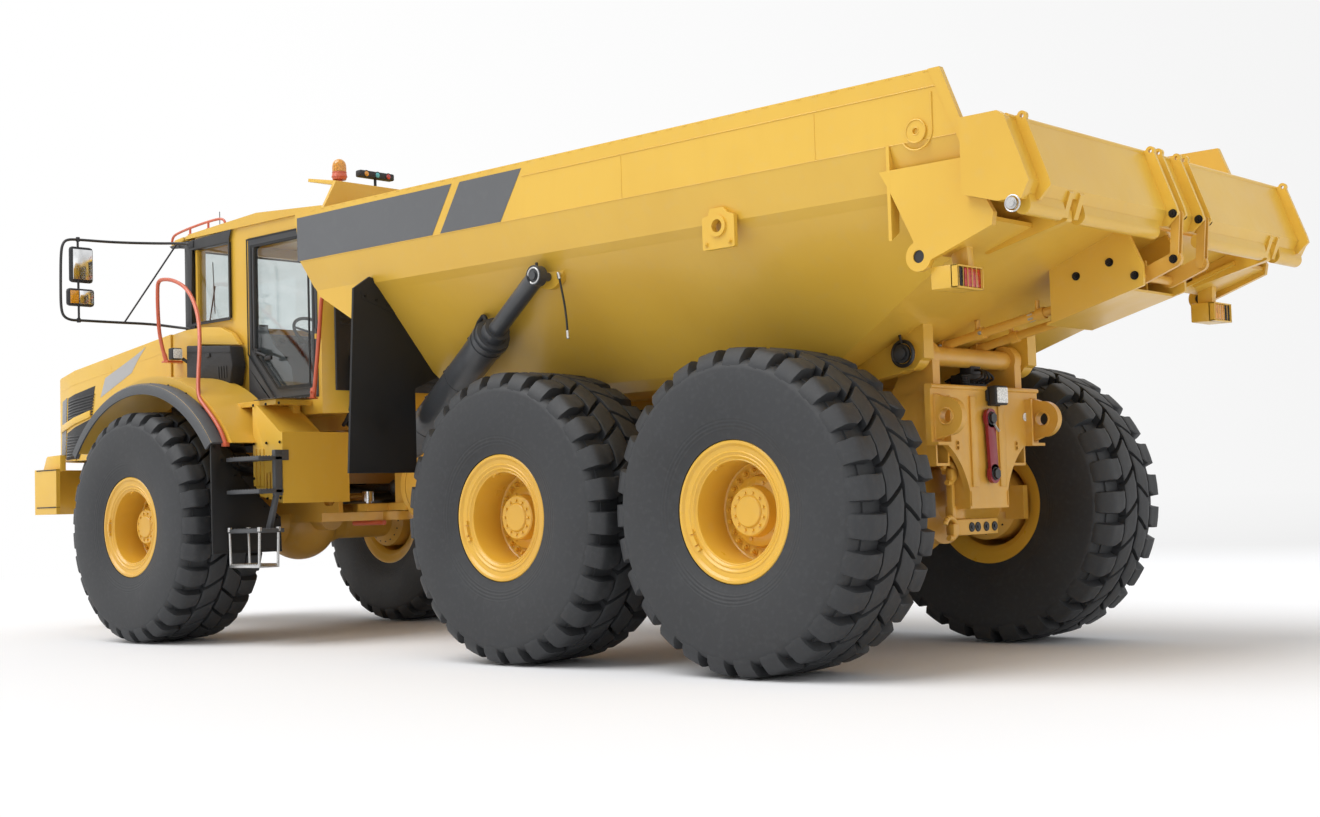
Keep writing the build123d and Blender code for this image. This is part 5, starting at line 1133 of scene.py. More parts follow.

# drum plates: a black ring of painted shade at each drum's edge, standing for the dark gap between drum and
# rim, and a ring of screws behind every wheel
for axle, body in (("front", "front_unit"), ("middle", "rear_unit"), ("rear", "rear_unit")):
    gapShadeRing, screws = bmesh.new(), bmesh.new()
    for side, sign in sides:
        centre = centreOf(f"tyre_{axle}_{side}")
        inner = Vector((centre.x, sign * 0.9595, centre.z))
        # black ring at the drum's edge: painted shade for the gap between drum and rim
        addRing(gapShadeRing, inner + Vector((0, sign * 0.004, 0)), Vector((0, sign, 0)), 0.236, 0.006, 48, 8)
        boltRing(screws, Vector((centre.x, sign * 0.940, centre.z)), Vector((0, -sign, 0)), 0.205, 18, 0.008,
                 0.010)
    finishPiece(f"drumGapShade_{axle}", gapShadeRing, blackRubber, body)
    finishPiece(f"drumScrews_{axle}", screws, boltSteel, body)
print("axles dressed")

# cab: dark posts and header round the windows, visor under the roof's edge, seals
def arcBand(mesh, x, z, section, start, end, steps=32):
    # a section of (radius, y) pairs swept round (x, z), angles from the nose upwards
    part = bmesh.new()
    turn = Matrix.Rotation(radians(start), 3, Vector((0, -1, 0)))
    face = part.faces.new([part.verts.new(turn @ Vector((r, y, 0))) for r, y in section])
    bmesh.ops.spin(part, geom=[face] + face.verts[:] + face.edges[:], cent=(0, 0, 0), axis=(0, -1, 0),
                   dvec=(0, 0, 0), angle=radians(end - start), steps=steps, use_merge=False,
                   use_duplicate=False)
    bmesh.ops.holes_fill(part, edges=[e for e in part.edges if e.is_boundary], sides=0)
    bmesh.ops.recalc_face_normals(part, faces=part.faces)
    bmesh.ops.translate(part, verts=part.verts, vec=at(x, 0, z))
    joinInto(mesh, part)


def frameOf(mesh, outline, middle, share, yFrom, yTo):
    # a flat ring between an outline and the same outline drawn in towards its middle
    inner = [(middle[0] + (x - middle[0]) * share[0], middle[1] + (z - middle[1]) * share[1]) for x,
             z in outline]
    count = len(outline)
    for k in range(count):
        n = (k + 1) % count
        sidePlate(mesh, [outline[k], outline[n], inner[n], inner[k]], yFrom, yTo)


cabTrim = {"side": 870, "front": 6760, "postRear": 6668, "sill": 2560}
mesh = bmesh.new()
for side, sign in sides:
    face = cabTrim["side"]
    # screen post, header over the side window and the seal down its rear edge
    sidePlate(mesh, [(cabTrim["postRear"], cabTrim["sill"]), (6764, cabTrim["sill"]), (6764, 3372),
                     (cabTrim["postRear"] - 20, 3372)], sign * (face + 0.5), sign * (face + 7), 0.002)
    sidePlate(mesh, [(6060, 3398), (6104, 3296), (6700, 3296), (6764, 3326), (6962, 3342), (7004, 3368)],
              sign * (face + 0.5), sign * (face + 6))
    frameOf(mesh, [(6088, 2640), (6682, 2640), (6682, 3312), (6088, 3312)], (6385, 2976), (0.95, 0.955),
            sign * (face + 0.5), sign * (face + 9))
    frameOf(mesh, [(6101, 2661), (6669, 2661), (6669, 3299), (6101, 3299)], (6385, 2980), (0.975, 0.98),
            sign * 822, sign * face)
    crossPlate(mesh, [(sign * 762, 2600), (sign * 868, 2600), (sign * 868, 3372), (sign * 762, 3372)],
               cabTrim["front"] + 0.5, cabTrim["front"] + 7, 0.002)
crossPlate(mesh, [(-762, 2620), (762, 2620), (762, 2664), (-762, 2664)], cabTrim["front"] + 0.5, 6768)
crossPlate(mesh, [(-762, 3296), (762, 3296), (762, 3400), (-762, 3400)], cabTrim["front"] + 0.5, 6768)
finishPiece("screenPosts", mesh, blackPaint, "front_unit")

# the roof's visor: yellow over, dark below, with its lamps
mesh = bmesh.new()
sidePlate(mesh, [(6812, 3396), (6812, 3432), (6940, 3420), (7006, 3386), (7006, 3372)], -858, 858, 0.006)
finishPiece("roofVisor", mesh, yellowPaint, "front_unit")
mesh = bmesh.new()
for sign in (1, -1):
    sidePlate(mesh, [(6768, 3330), (6772, 3396), (6985, 3372), (6960, 3352)], sign * 700, sign * 846, 0.004)
    for y in (560, 400):
        softBlock(mesh, (6800, sign * y - 52, 3318), (6874, sign * y + 52, 3392), 0.010)
sidePlate(mesh, [(6768, 3376), (6768, 3396), (6985, 3372), (6985, 3362)], -846, 846)
finishPiece("visorUnderside", mesh, blackPaint, "front_unit")
mesh = bmesh.new()
for sign in (1, -1):
    for y in (560, 400):
        softBlock(mesh, (6874, sign * y - 44, 3326), (6880, sign * y + 44, 3384), 0.004)
finishPiece("roofLampFaces", mesh, whiteLens, "front_unit")

mesh = bmesh.new()
# two screen wipers, their pivots and the aerial
for side, sign in sides:
    addRod(mesh, at(6776, sign * 640, 2640), at(6790, sign * 560, 3020), 0.006, 10)
    addRod(mesh, at(6782, sign * 570, 2780), at(6782, sign * 585, 3230), 0.005, 8)
    addRod(mesh, at(6762, sign * 640, 2640), at(6792, sign * 640, 2640), 0.018, 16)
addRod(mesh, at(6640, 600, 3440), at(6640, 600, 3476), 0.016, 16)
addRod(mesh, at(6640, 600, 3470), at(6640, 600, 3655), 0.0035, 8)
finishPiece("wipersAndAerial", mesh, blackPlastic, "front_unit")

# roof rails
roofRailRadius = 0.011
for side, sign in sides:
    rail = [(6170, 856, 3462), (6176, 858, 3512), (6300, 858, 3520), (6640, 858, 3502), (6900, 858, 3474),
            (6985, 858, 3456), (6990, 856, 3404)]
    tubeAlong(f"roofRail_{side}", [at(x, sign * y, z) for x, y, z in rail], roofRailRadius, orangePaint,
              "front_unit", 4)
    mesh = bmesh.new()
    for x, low, high in ((6420, 3450, 3510), (6700, 3436, 3496)):
        addRod(mesh, at(x, sign * 858, low), at(x, sign * 858, high), 0.010, 12)
        softBlock(mesh, (x - 26, sign * 836, low - 2), (x + 26, sign * 866, low + 8), 0.002)
    finishPiece(f"roofRailPosts_{side}", mesh, orangePaint, "front_unit")
print("cab trimmed")

# door: inner panel, corner fill, handle, strap and seal
mesh = bmesh.new()
sidePlate(mesh, [(5848, 2326), (5848, 1934), (5474, 1934)], 826, 866, 0.006)
sidePlate(mesh, [(5782, 2560), (5660, 2542), (5600, 2450), (5530, 2362), (5420, 2290), (5318, 2182),
                 (5290, 2020), (5432, 2018), (5782, 2368)], 806, 820, 0.003)
for k in range(3):
    sidePlate(mesh, [(5836 - k * 70, 2200 - k * 70), (5836 - k * 70, 2212 - k * 70), (5560, 1948),
                     (5548, 1948)],
              866, 869)
finishPiece("doorPanel", mesh, greyPlastic, "cab_door")
mesh = bmesh.new()
frameOf(mesh, [(4984, 2014), (5434, 2014), (5788, 2366), (5788, 3228), (4984, 3228)], (5386, 2621),
        (0.955, 0.966), 871, 879)
frameOf(mesh, [(4924, 1934), (5474, 1934), (5846, 2328), (5846, 3286), (4924, 3286)], (5385, 2610),
        (0.972, 0.98), 870.5, 875)
finishPiece("doorSeals", mesh, blackRubber, "cab_door")
mesh = bmesh.new()
addRod(mesh, at(5690, 872, 2335), at(5690, 905, 2335), 0.030, 24)
addRod(mesh, at(5690, 898, 2335), at(5540, 906, 2288), 0.012, 16)
softBlock(mesh, (5470, 890, 2256), (5560, 916, 2292), 0.008)
addRod(mesh, at(5690, 900, 2335), at(5690, 912, 2335), 0.014, 12)
finishPiece("doorHandle", mesh, blackPlastic, "cab_door")
tubeAlong("doorStrap", [at(5760, 798, 2470), at(5640, 798, 2372), at(5530, 798, 2262), at(5450, 798, 2150),
                        at(5415, 798, 2030)], 0.009, blackRubber, "cab_door", 4)
print("door dressed")

# cowl beside the screen, the dark service box, its lamp and the fender's dark flare
mesh = bmesh.new()
for side, sign in sides:
    sidePlate(mesh, [(6902, 1980), (6902, 2586), (6700, 2606), (6420, 2608), (6180, 2586), (6010, 2520),
                     (5900, 2412), (6470, 2462), (6640, 2300), (6640, 2080)], sign * 871, sign * 921, 0.008)
sidePlate(mesh, [(6902, 2470), (6902, 2586), (6772, 2598), (6772, 2470)], -871, 871, 0.004)
finishPiece("cowl", mesh, yellowPaint, "front_unit")

mesh = bmesh.new()
for side, sign in sides:
    sidePlate(mesh, [(6548, 2456), (5905, 2402), (5868, 2240), (5912, 2075), (6140, 2120), (6420, 2150),
                     (6548, 2140)], sign * 874, sign * 1012, 0.014)
    # lid line, louvres and latch
    sidePlate(mesh, [(6530, 2404), (5898, 2352), (5900, 2344), (6530, 2395)], sign * 1012, sign * 1016)
    for k in range(4):
        x = 5940 + 38 * k
        sidePlate(mesh, [(x, 2140), (x + 10, 2140), (x + 16, 2240), (x + 6, 2240)], sign * 1012, sign * 1018)
    softBlock(mesh, (6180, sign * 1012, 2330), (6240, sign * 1024, 2364), 0.004)
finishPiece("serviceBoxes", mesh, blackPlastic, "front_unit")
mesh = bmesh.new()
lens = bmesh.new()
for side, sign in sides:
    softBlock(mesh, (6600, sign * 1012, 2340), (6672, sign * 1110, 2440), 0.012)
    softBlock(lens, (6592, sign * 1020, 2350), (6602, sign * 1102, 2430), 0.008)
    addRod(mesh, at(6620, sign * 1000, 2350), at(6560, sign * 960, 2300), 0.014, 12)
finishPiece("sideLampHousings", mesh, blackPlastic, "front_unit")
finishPiece("sideLampFaces", lens, whiteLens, "front_unit")

flare = {"x": 6335, "z": 760, "from": 38.0, "to": 142.5}
mesh = bmesh.new()
for side, sign in sides:
    arcBand(mesh, flare["x"], flare["z"],
            [(1.322, sign * 1.478), (1.338, sign * 1.478), (1.343, sign * 1.520), (1.338, sign * 1.590),
             (1.318, sign * 1.612), (1.250, sign * 1.614), (1.250, sign * 1.600), (1.308, sign * 1.590)],
            flare["from"], flare["to"], 48)
finishPiece("fenderFlares", mesh, greyPlastic, "front_unit", smooth=50)
mesh = bmesh.new()
for side, sign in sides:
    for k in range(9):
        angle = radians(44 + k * 11.6)
        out = Vector((cos(angle), 0, sin(angle)))
        addBolt(mesh, at(flare["x"], sign * 1490, flare["z"]) + out * 1.340, out, 0.008, 0.006)
finishPiece("flareBolts", mesh, boltSteel, "front_unit")

# mud aprons behind the front wheels, cut back to the box's foot, with a hem and bolts
mesh, screws = bmesh.new(), bmesh.new()
for side, sign in sides:
    outline = [(1600, 1570), (1530, 1570), (1490, 1478), (1240, 1216), (966, 985), (962, 715), (1596, 712)]
    crossPlate(mesh, [(sign * y, z) for y, z in outline], 5289, 5305, 0.003)
    crossPlate(mesh, [(sign * 962, 713), (sign * 1596, 713), (sign * 1596, 731), (sign * 962, 731)], 5286,
               5308, 0.002)
    for y, z in ((1570, 1540), (1500, 1440), (1380, 1320), (1250, 1190), (1110, 1070), (1000, 980)):
        addBolt(screws, at(5289, sign * y, z), Vector((-1, 0, 0)), 0.010, 0.008)
apronPiece = finishPiece("mudAprons", mesh, blackRubber, "front_unit")
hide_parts("mudflaps")
finishPiece("apronBolts", screws, boltSteel, "front_unit")
print("cowl, boxes and flares made")

# hood: side grilles with their blade, the blank stripe and lid line
noseSide = {"upper": [(8730, 2150), (8190, 2230), (8262, 2012), (8760, 1905)],
            "lower": [(8765, 1825), (8262, 1935), (8502, 1575), (8800, 1575)],
            "edge": [(8880, 2124), (8760, 2156), (8812, 1590), (8920, 1584)],
            "bends": ((8560, 70 / 400), (8960, 230 / 180 - 70 / 400)),
            "stripe": [(8010, 2287), (8098, 2115), (7560, 2302), (7440, 2420), (7318, 2512), (7520, 2440)]}


def bentToNose(mesh):
    # laid flat on the hood's side, then turned in with its two corners
    for x, slope in noseSide["bends"]:
        corner = at(x, 0, 0)
        bmesh.ops.bisect_plane(mesh, geom=mesh.verts[:] + mesh.edges[:] + mesh.faces[:], plane_co=corner,
                               plane_no=(1, 0, 0))
        for v in mesh.verts:
            if v.co.x > corner.x:
                v.co.y -= (1 if v.co.y > 0 else -1) * slope * (v.co.x - corner.x)
    return mesh


dark, slats, edge, stripeMesh, lid = (bmesh.new() for count in range(5))
for side, sign in sides:
    for name in ("upper", "lower"):
        sidePlate(dark, noseSide[name], sign * 929.5, sign * 933, 0.001)
    for k in range(8):
        z = 1922 + k * 26
        sidePlate(slats, [(8240 - k * 6, z + 44), (8725, z), (8725, z + 12), (8240 - k * 6, z + 56)],
                  sign * 933, sign * 941, 0.002)
    for k in range(8):
        z = 1600 + k * 26
        sidePlate(slats, [(8505 - k * 18, z), (8775, z), (8775, z + 11), (8505 - k * 18, z + 11)],
                  sign * 933, sign * 941, 0.002)
    sidePlate(edge, noseSide["edge"], sign * 930.5, sign * 936, 0.002)
    sidePlate(stripeMesh, noseSide["stripe"], sign * 930.3, sign * 931.8)
    # yellow blade across the grille, pressed out
    sidePlate(lid, [(8915, 1832), (8905, 1898), (8262, 2012), (8262, 1948)], sign * 931, sign * 950, 0.006)
    sidePlate(lid, [(7905, 1600), (7911, 1600), (7911, 2396), (7905, 2396)], sign * 929.6, sign * 930.8)
    sidePlate(lid, [(6990, 2440), (8900, 2225), (8900, 2229), (6990, 2444)], sign * 929.8, sign * 931.4)
finishPiece("sideGrilleDark", bentToNose(dark), blackPlastic, "hood")
finishPiece("sideGrilleSlats", bentToNose(slats), blackPaint, "hood")
finishPiece("noseEdge", bentToNose(edge), paleTrim, "hood")
finishPiece("hoodStripe", stripeMesh, paleStripe, "hood")
finishPiece("hoodBlades", bentToNose(lid), yellowPaint, "hood")

# nose: grille surround, mesh behind its bars, and two lamps a side with dark bezels
mesh, lens = bmesh.new(), bmesh.new()
crossPlate(mesh, [(-618, 1642), (618, 1642), (618, 2198), (-618, 2198)], 9066, 9074)
for k in range(25):
    y = -600 + 50 * k
    addRod(mesh, at(9078, y, 1645), at(9078, y, 2195), 0.003, 6)
for sign in (1, -1):
    for z in (1820, 2000):
        face, out = at(9050, sign * 745, z), Vector((0.787, sign * 0.616, 0))
        addRod(mesh, face - out * 0.030, face + out * 0.008, 0.086, 36)
        addRing(mesh, face + out * 0.008, out, 0.080, 0.008)
        addRod(lens, face, face + out * 0.013, 0.072, 36, 0.060)
finishPiece("noseMesh", mesh, blackPlastic, "hood")
finishPiece("headLamps", lens, whiteLens, "hood")
mesh = bmesh.new()
for sign in (1, -1):
    softBlock(mesh, (8700, sign * 1010, 1130), (9060, sign * 1056, 1140), 0.003)
    softBlock(mesh, (8700, sign * 1010, 1476), (9060, sign * 1056, 1486), 0.003)
    addRod(mesh, at(9196, sign * 330, 1240), at(9222, sign * 330, 1240), 0.030, 24)
finishPiece("bumperTrim", mesh, blackPlastic, "front_unit")
mesh = bmesh.new()
for sign in (1, -1):
    # skirt outside the hood's foot, standing on the bumper's wings
    sidePlate(mesh, [(8702, 1470), (9030, 1470), (8960, 1600), (8940, 1612), (8702, 1618)],
              sign * 948, sign * 1006, 0.004)
finishPiece("bumperSkirts", mesh, yellowPaint, "front_unit")
print("hood and nose dressed")

# handrails: one long bent tube over each fender, one hooked tube behind each cab corner
railLine = {"front": [(6801, 1060, 2380), (6846, 1080, 2526), (6846, 1095, 2783), (6838, 1100, 2960),
                      (6826, 1100, 3020), (6770, 1100, 3040), (6600, 1100, 3016), (6410, 1105, 2941),
                      (6250, 1135, 2830), (6085, 1190, 2680), (5940, 1265, 2510), (5822, 1345, 2330),
                      (5740, 1410, 2160), (5680, 1455, 2020), (5625, 1480, 1935), (5534, 1488, 1868),
                      (5389, 1492, 1750), (5290, 1492, 1640), (5256, 1490, 1562)],
            "rear": [(4740, 862, 2700), (4742, 900, 2702), (4750, 926, 2690), (4758, 930, 2640),
                     (4790, 930, 2400), (4830, 930, 2160), (4868, 930, 1950), (4874, 930, 1904)],
            "radius": 0.0165}
for side, sign in sides:
    for place in ("front", "rear"):
        points = [at(x, sign * y, z) for x, y, z in railLine[place]]
        tube = tubeAlong(f"handrail_{place}_{side}", points, railLine["radius"], orangePaint, "front_unit",
                         3)
        if place == "front" and side == "left":
            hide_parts("handrails")
    mesh = bmesh.new()
    # welded feet and the three-cornered end plate
    addRod(mesh, at(6790, sign * 1055, 2340), at(6806, sign * 1062, 2400), 0.020, 16)
    softBlock(mesh, (6740, sign * 925, 2330), (6840, sign * 1070, 2346), 0.003)
    softBlock(mesh, (5232, sign * 1466, 1540), (5290, sign * 1506, 1574), 0.004)
    sidePlate(mesh, [(4852, 1901), (4902, 1901), (4894, 1985), (4860, 1992)], sign * 936, sign * 948, 0.002)
    softBlock(mesh, (4852, sign * 905, 1900.5), (4902, sign * 985, 1908), 0.002)
    addBolt(mesh, at(4878, sign * 948, 1955), Vector((0, sign, 0)), 0.010, 0.010)
    addRod(mesh, at(4740, sign * 868, 2700), at(4740, sign * 884, 2700), 0.024, 16)
    finishPiece(f"railFeet_{side}", mesh, orangePaint, "front_unit")
print("handrails bent")

# mirrors: bent arm, upright, two heads with rounded shells and bright faces
mirrorArm = {"loop": [(6640, 846, 3345), (6760, 900, 3366), (6900, 1056, 3367), (7000, 1401, 3357),
                      (7000, 1740, 3350), (7000, 1826, 3345), (7000, 1874, 3320), (7000, 1898, 3240),
                      (7000, 1903, 2957), (7000, 1903, 2780), (7000, 1885, 2700), (7000, 1823, 2670),
                      (7000, 1740, 2672), (7000, 1387, 2674), (6960, 1078, 2674), (6820, 909, 2640),
                      (6700, 862, 2620)], "radius": 0.0115}
shells, faces, corners = bmesh.new(), bmesh.new(), bmesh.new()
for side, sign in sides:
    points = [at(x, sign * y, z) for x, y, z in mirrorArm["loop"]]
    tube = tubeAlong(f"mirrorArm_{side}", points, mirrorArm["radius"], blackPaint, "front_unit",
                     3)
    if side == "left":
        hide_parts("mirrors")
    addRod(shells, at(7000, sign * 1742, 2670), at(7000, sign * 1746, 3352), 0.0095, 14)
    addRod(shells, at(6870, sign * 892, 3366), at(7000, sign * 1322, 2678), 0.0075, 12)
    for z, y in ((3345, 870), (2620, 862)):
        softBlock(shells, (6620, sign * 868, z - 30), (6700, sign * (y + 14), z + 30), 0.006)
    for z in (3352, 2672, 3225, 3075, 2890, 2840):
        addRod(shells, at(7000, sign * 1744, z - 18), at(7000, sign * 1744, z + 18), 0.016, 14)
    softBlock(shells, (6990, sign * 1604, 2990), (7048, sign * 1814, 3292), 0.026)
    softBlock(shells, (6990, sign * 1596, 2792), (7052, sign * 1838, 2940), 0.024)
    softBlock(faces, (6984, sign * 1622, 3014), (6992, sign * 1796, 3268), 0.003)
    softBlock(faces, (6984, sign * 1616, 2810), (6992, sign * 1742, 2922), 0.003)
    softBlock(corners, (6983, sign * 1748, 2812), (6993, sign * 1822, 2920), 0.003)
finishPiece("mirrorShells", shells, blackPlastic, "front_unit", smooth=50)
finishPiece("mirrorFaces", faces, mirrorFace, "front_unit")
finishPiece("mirrorCorners", corners, amberLens, "front_unit")
print("mirrors made")

# steps: three treads on a dark stringer, the lowest rung in a bright frame
stepForm = {"rear": 4834, "front": 5268, "inner": 1255, "outer": 1480, "treads": (1457, 1205, 905),
            "low": 610}
dark, bright = bmesh.new(), bmesh.new()
for side, sign in sides:
    for z in stepForm["treads"]:
        softBlock(dark, (stepForm["rear"], sign * stepForm["inner"], z - 36),
                  (stepForm["front"], sign * stepForm["outer"], z - 6), 0.004)
        for row in range(4):
            for tooth in range(11):
                spot = at(stepForm["rear"] + 24 + tooth * 38.5, sign * (stepForm["inner"] + 30 + row * 55),
                          z - 6)
                addRod(dark, spot, spot + Vector((0, 0, 0.006)), 0.010, 6, 0.007)
    # stringer: upright behind the treads, swept out to the lowest one
    softBlock(dark, (4834, sign * 1262, 1150), (4878, sign * 1330, 1500), 0.006)
    sidePlate(dark, [(4834, 1160), (4882, 1160), (4990, 900), (5000, 868), (4940, 868)],
              sign * 1290, sign * 1320, 0.004)
    softBlock(dark, (4836, sign * 1200, 1420), (4900, sign * 1300, 1500), 0.004)
    for x in (4850, 5250):
        addRod(bright, at(x, sign * 1470, 900),
               at(x + (12 if x < 5000 else -12), sign * 1470, stepForm["low"]), 0.010, 12)
        addRod(bright, at(x, sign * 1300, 900),
               at(x + (12 if x < 5000 else -12), sign * 1300, stepForm["low"]), 0.010, 12)
        for y in (1300, 1470):
            addRod(bright, at(x, sign * y, 880), at(x, sign * y, 912), 0.018, 12)
    softBlock(bright, (4856, sign * 1290, 604), (5244, sign * 1480, 626), 0.004)
    for tooth in range(13):
        x = 4866 + tooth * 30
        softBlock(bright, (x, sign * 1290, 626), (x + 12, sign * 1480, 634), 0.001)
darkPiece = finishPiece("stepTreads", dark, greyPlastic, "front_unit")
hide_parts("steps")
finishPiece("stepRungs", bright, brightSteel, "front_unit")

# side boxes: raised ribs, screws along the edges, dark tread plates on the deck
ribs, screws, plates = bmesh.new(), bmesh.new(), bmesh.new()
for side, sign in sides:
    for k in range(5):
        x = 4880 + 42 * k
        softBlock(ribs, (x, sign * 1259, 1180), (x + 16, sign * 1266, 1330), 0.003)
    for x in (4870, 5045, 5215):
        for z in (1862, 1560, 1130 if x < 5100 else 1290):
            addBolt(screws, at(x, sign * 1259.5, z), Vector((0, sign, 0)), 0.009, 0.007)
    for k in range(2):
        softBlock(plates, (4858, sign * (905 + 178 * k), 1900.5), (5225, sign * (1068 + 178 * k), 1905),
                  0.001)
        for i in range(8):
            for j in range(4):
                spot = at(4882 + 45 * i, sign * (925 + 178 * k + 40 * j), 1905)
                addRod(plates, spot, spot + Vector((0, 0, 0.005)), 0.011, 6, 0.007)
finishPiece("boxRibs", ribs, yellowPaint, "front_unit")
finishPiece("boxScrews", screws, boltSteel, "front_unit")
finishPiece("deckPlates", plates, blackPaint, "front_unit")
print("steps and boxes dressed")

# cab's rear wall: dark lining, louvres and fixed pipes
mesh = bmesh.new()
for sign in (1, -1):
    softBlock(mesh, (4686, sign * 580, 1960), (4708, sign * 846, 3250), 0.004)
softBlock(mesh, (4686, -580, 1960), (4708, 580, 2436), 0.004)
for k in range(9):
    softBlock(mesh, (4674, -420, 2010 + 42 * k), (4690, 420, 2030 + 42 * k), 0.003)
for k in range(14):
    for sign in (1, -1):
        softBlock(mesh, (4676, sign * 620, 2480 + 50 * k), (4690, sign * 800, 2500 + 50 * k), 0.003)
finishPiece("cabRearLining", mesh, blackPlastic, "front_unit")
for number, (y, swing) in enumerate(((700, 30), (650, 16), (600, 4), (-600, -10), (-660, -30))):
    tubeAlong(f"cabPipe_{number}", [at(4690, y, 2240), at(4640, y + swing * 0.3, 2200),
                                    at(4628, y + swing, 2050),
                                    at(4660, y + swing, 1900), at(4760, y * 0.94, 1780),
                                    at(4900, y * 0.9, 1700)],
              0.016, blackRubber, "front_unit", 4)
print("cab rear dressed")

# seat: two cushions and a head pad swollen by cloth pressure, on a bellows and a pan
cushionForm = {"voxel": 0.009, "pressure": 4.0, "cap": 0.022, "frames": 20}


def softCushion(name, block, turn, middle):
    mesh = bmesh.new()
    bmesh.ops.create_cube(mesh, size=1, matrix=Matrix.Diagonal((*block, 1)))
    bmesh.ops.bevel(mesh, geom=mesh.edges[:], offset=min(block) * 0.32, offset_type="OFFSET", segments=4,
                    profile=0.5, affect="EDGES", material=-1)
    data = meshData(name, mesh)
    piece = newObject(name, data)
    grain = piece.modifiers.new("grain", "REMESH")
    grain.mode = "VOXEL"
    grain.voxel_size = cushionForm["voxel"]
    bpy.context.view_layer.update()
    even = bpy.data.meshes.new_from_object(piece.evaluated_get(bpy.context.evaluated_depsgraph_get()))
    piece.modifiers.clear()
    piece.data = even
    bpy.data.meshes.remove(data)
    start = [v.co.copy() for v in even.vertices]
    cloth = piece.modifiers.new("cloth", "CLOTH")
    cloth.settings.use_pressure = True
    cloth.settings.uniform_pressure_force = cushionForm["pressure"]
    cloth.settings.effector_weights.gravity = 0
    cloth.point_cache.frame_end = cushionForm["frames"]
    for frameNumber in range(1, cushionForm["frames"] + 1):
        scene.frame_set(frameNumber)
    swollen = bpy.data.meshes.new_from_object(piece.evaluated_get(bpy.context.evaluated_depsgraph_get()))
    piece.modifiers.clear()
    scene.frame_set(1)
    for vertex, before in zip(swollen.vertices, start):
        moved = vertex.co - before
        if moved.length > cushionForm["cap"]:
            vertex.co = before + moved.normalized() * cushionForm["cap"]
    piece.data = swollen
    bpy.data.meshes.remove(even)
    # sewn channels pressed in across the pad
    for vertex in piece.data.vertices:
        near = min(abs(vertex.co.y - line) for line in (-block[1] * 0.24, block[1] * 0.24))
        if near < 0.020 and vertex.co.z > 0:
            vertex.co.z -= 0.008 * (1 - near / 0.020) ** 2
    piece.data.transform(Matrix.Translation(middle) @ turn)
    piece.data.materials.clear()
    piece.data.materials.append(seatFabric)
    piece.data.shade_smooth()
    smoother = piece.modifiers.new("smoother", "SUBSURF")
    smoother.levels = smoother.render_levels = 1
    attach(piece, "front_unit")
    return piece


backLean = Matrix.Rotation(radians(-90 - 8.4), 4, "Y")
seatPad = softCushion("seatPad", (0.470, 0.490, 0.110), Matrix.Identity(4), at(5510, 0, 2318))
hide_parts("seat")
softCushion("backPad", (0.600, 0.450, 0.095), backLean, at(5268, 0, 2700))
softCushion("headPad", (0.130, 0.280, 0.070), backLean, at(5212, 0, 3018 - 36))
mesh = bmesh.new()
softBlock(mesh, (5290, -215, 2210), (5720, 215, 2258), 0.014)
for k in range(7):
    half = 150 - (8 if k % 2 else 0)
    softBlock(mesh, (5500 - half, -half, 1872 + 48 * k), (5500 + half, half, 1924 + 48 * k), 0.016)
for sign in (1, -1):
    softBlock(mesh, (5330, sign * 282, 2480), (5600, sign * 340, 2520), 0.014)
    addRod(mesh, at(5330, sign * 300, 2500), at(5290, sign * 240, 2500), 0.014, 14)
    softBlock(mesh, (5560, sign * 286, 2520), (5600, sign * 326, 2600), 0.008)
finishPiece("seatFrame", mesh, blackPlastic, "front_unit")
print("seat swollen")

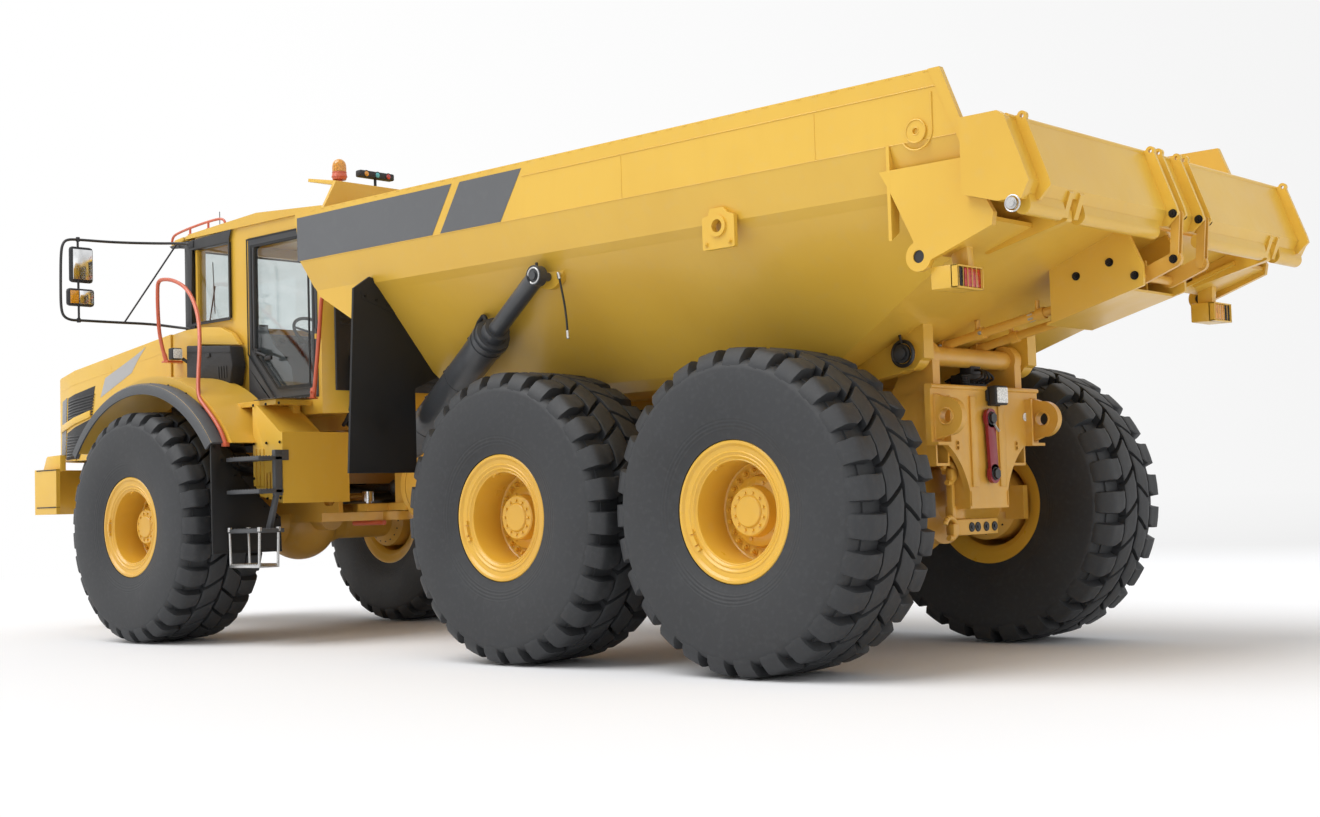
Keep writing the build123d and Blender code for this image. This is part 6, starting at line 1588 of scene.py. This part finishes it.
# steering wheel on its column, dash binnacle and screen
mesh = bmesh.new()
wheelMiddle = at(6112, 0, 2568)
wheelWay = (at(6120, 0, 2560) - at(6300, 0, 2400)).normalized()
addRing(mesh, wheelMiddle, wheelWay, 0.200, 0.0145, 48, 12)
addRod(mesh, wheelMiddle - wheelWay * 0.03, wheelMiddle + wheelWay * 0.012, 0.052, 28, 0.040)
for turn in (90, 210, 330):
    out = wheelWay.orthogonal().normalized()
    out.rotate(Matrix.Rotation(radians(turn), 3, wheelWay))
    addRod(mesh, wheelMiddle, wheelMiddle + out * 0.198, 0.012, 12, 0.009)
addRod(mesh, at(6300, 0, 2400), wheelMiddle - wheelWay * 0.02, 0.034, 20, 0.026)
finishPiece("steeringWheel", mesh, blackPlastic, "front_unit")
mesh = bmesh.new()
sidePlate(mesh, [(6300, 1835), (6722, 1835), (6722, 2556), (6350, 2478), (6282, 2378)], -735, 735, 0.012)
sidePlate(mesh, [(6340, 2470), (6480, 2590), (6560, 2600), (6560, 2500)], -210, 210, 0.010)
dashPiece = finishPiece("dashPanel", mesh, greyPlastic, "front_unit")
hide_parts("dashboard")
mesh = bmesh.new()
for k in range(4):
    y = -140 + 94 * k
    spot = at(6402, y, 2522)
    addRod(mesh, spot, spot + Vector((-0.010, 0, 0.009)), 0.032, 24)
softBlock(mesh, (6330, 330, 2500), (6352, 560, 2650), 0.006)
finishPiece("dashDials", mesh, blackPaint, "front_unit")
print("cab fitted out")

# curtains: fixing bolts, clamp strips and hem
mesh, strip = bmesh.new(), bmesh.new()
for side, sign in sides:
    for y, z in ((1624, 2501), (1529, 2479), (1434, 2450), (1339, 2410)):
        addBolt(mesh, at(3310, sign * y, z), Vector((-1, 0, 0)), 0.011, 0.010)
    crossPlate(strip, [(sign * 1300, 2376), (sign * 1300, 2420), (sign * 1660, 2530), (sign * 1660, 2484)],
               3306, 3310)
    crossPlate(strip, [(sign * 1230, 1272), (sign * 1780, 1272), (sign * 1780, 1290), (sign * 1230, 1290)],
               3306, 3310)
finishPiece("curtainBolts", mesh, boltSteel, "dump_body")
finishPiece("curtainStrips", strip, blackRubber, "dump_body")

# front frame: bolts along its outer plates
mesh = bmesh.new()
for sign in (1, -1):
    for k in range(5):
        addBolt(mesh, at(5110 + 150 * k, sign * 740.5, 1560), Vector((0, sign, 0)), 0.014, 0.014)
finishPiece("frameBolts", mesh, boltSteel, "front_unit")
print("frame dressed")
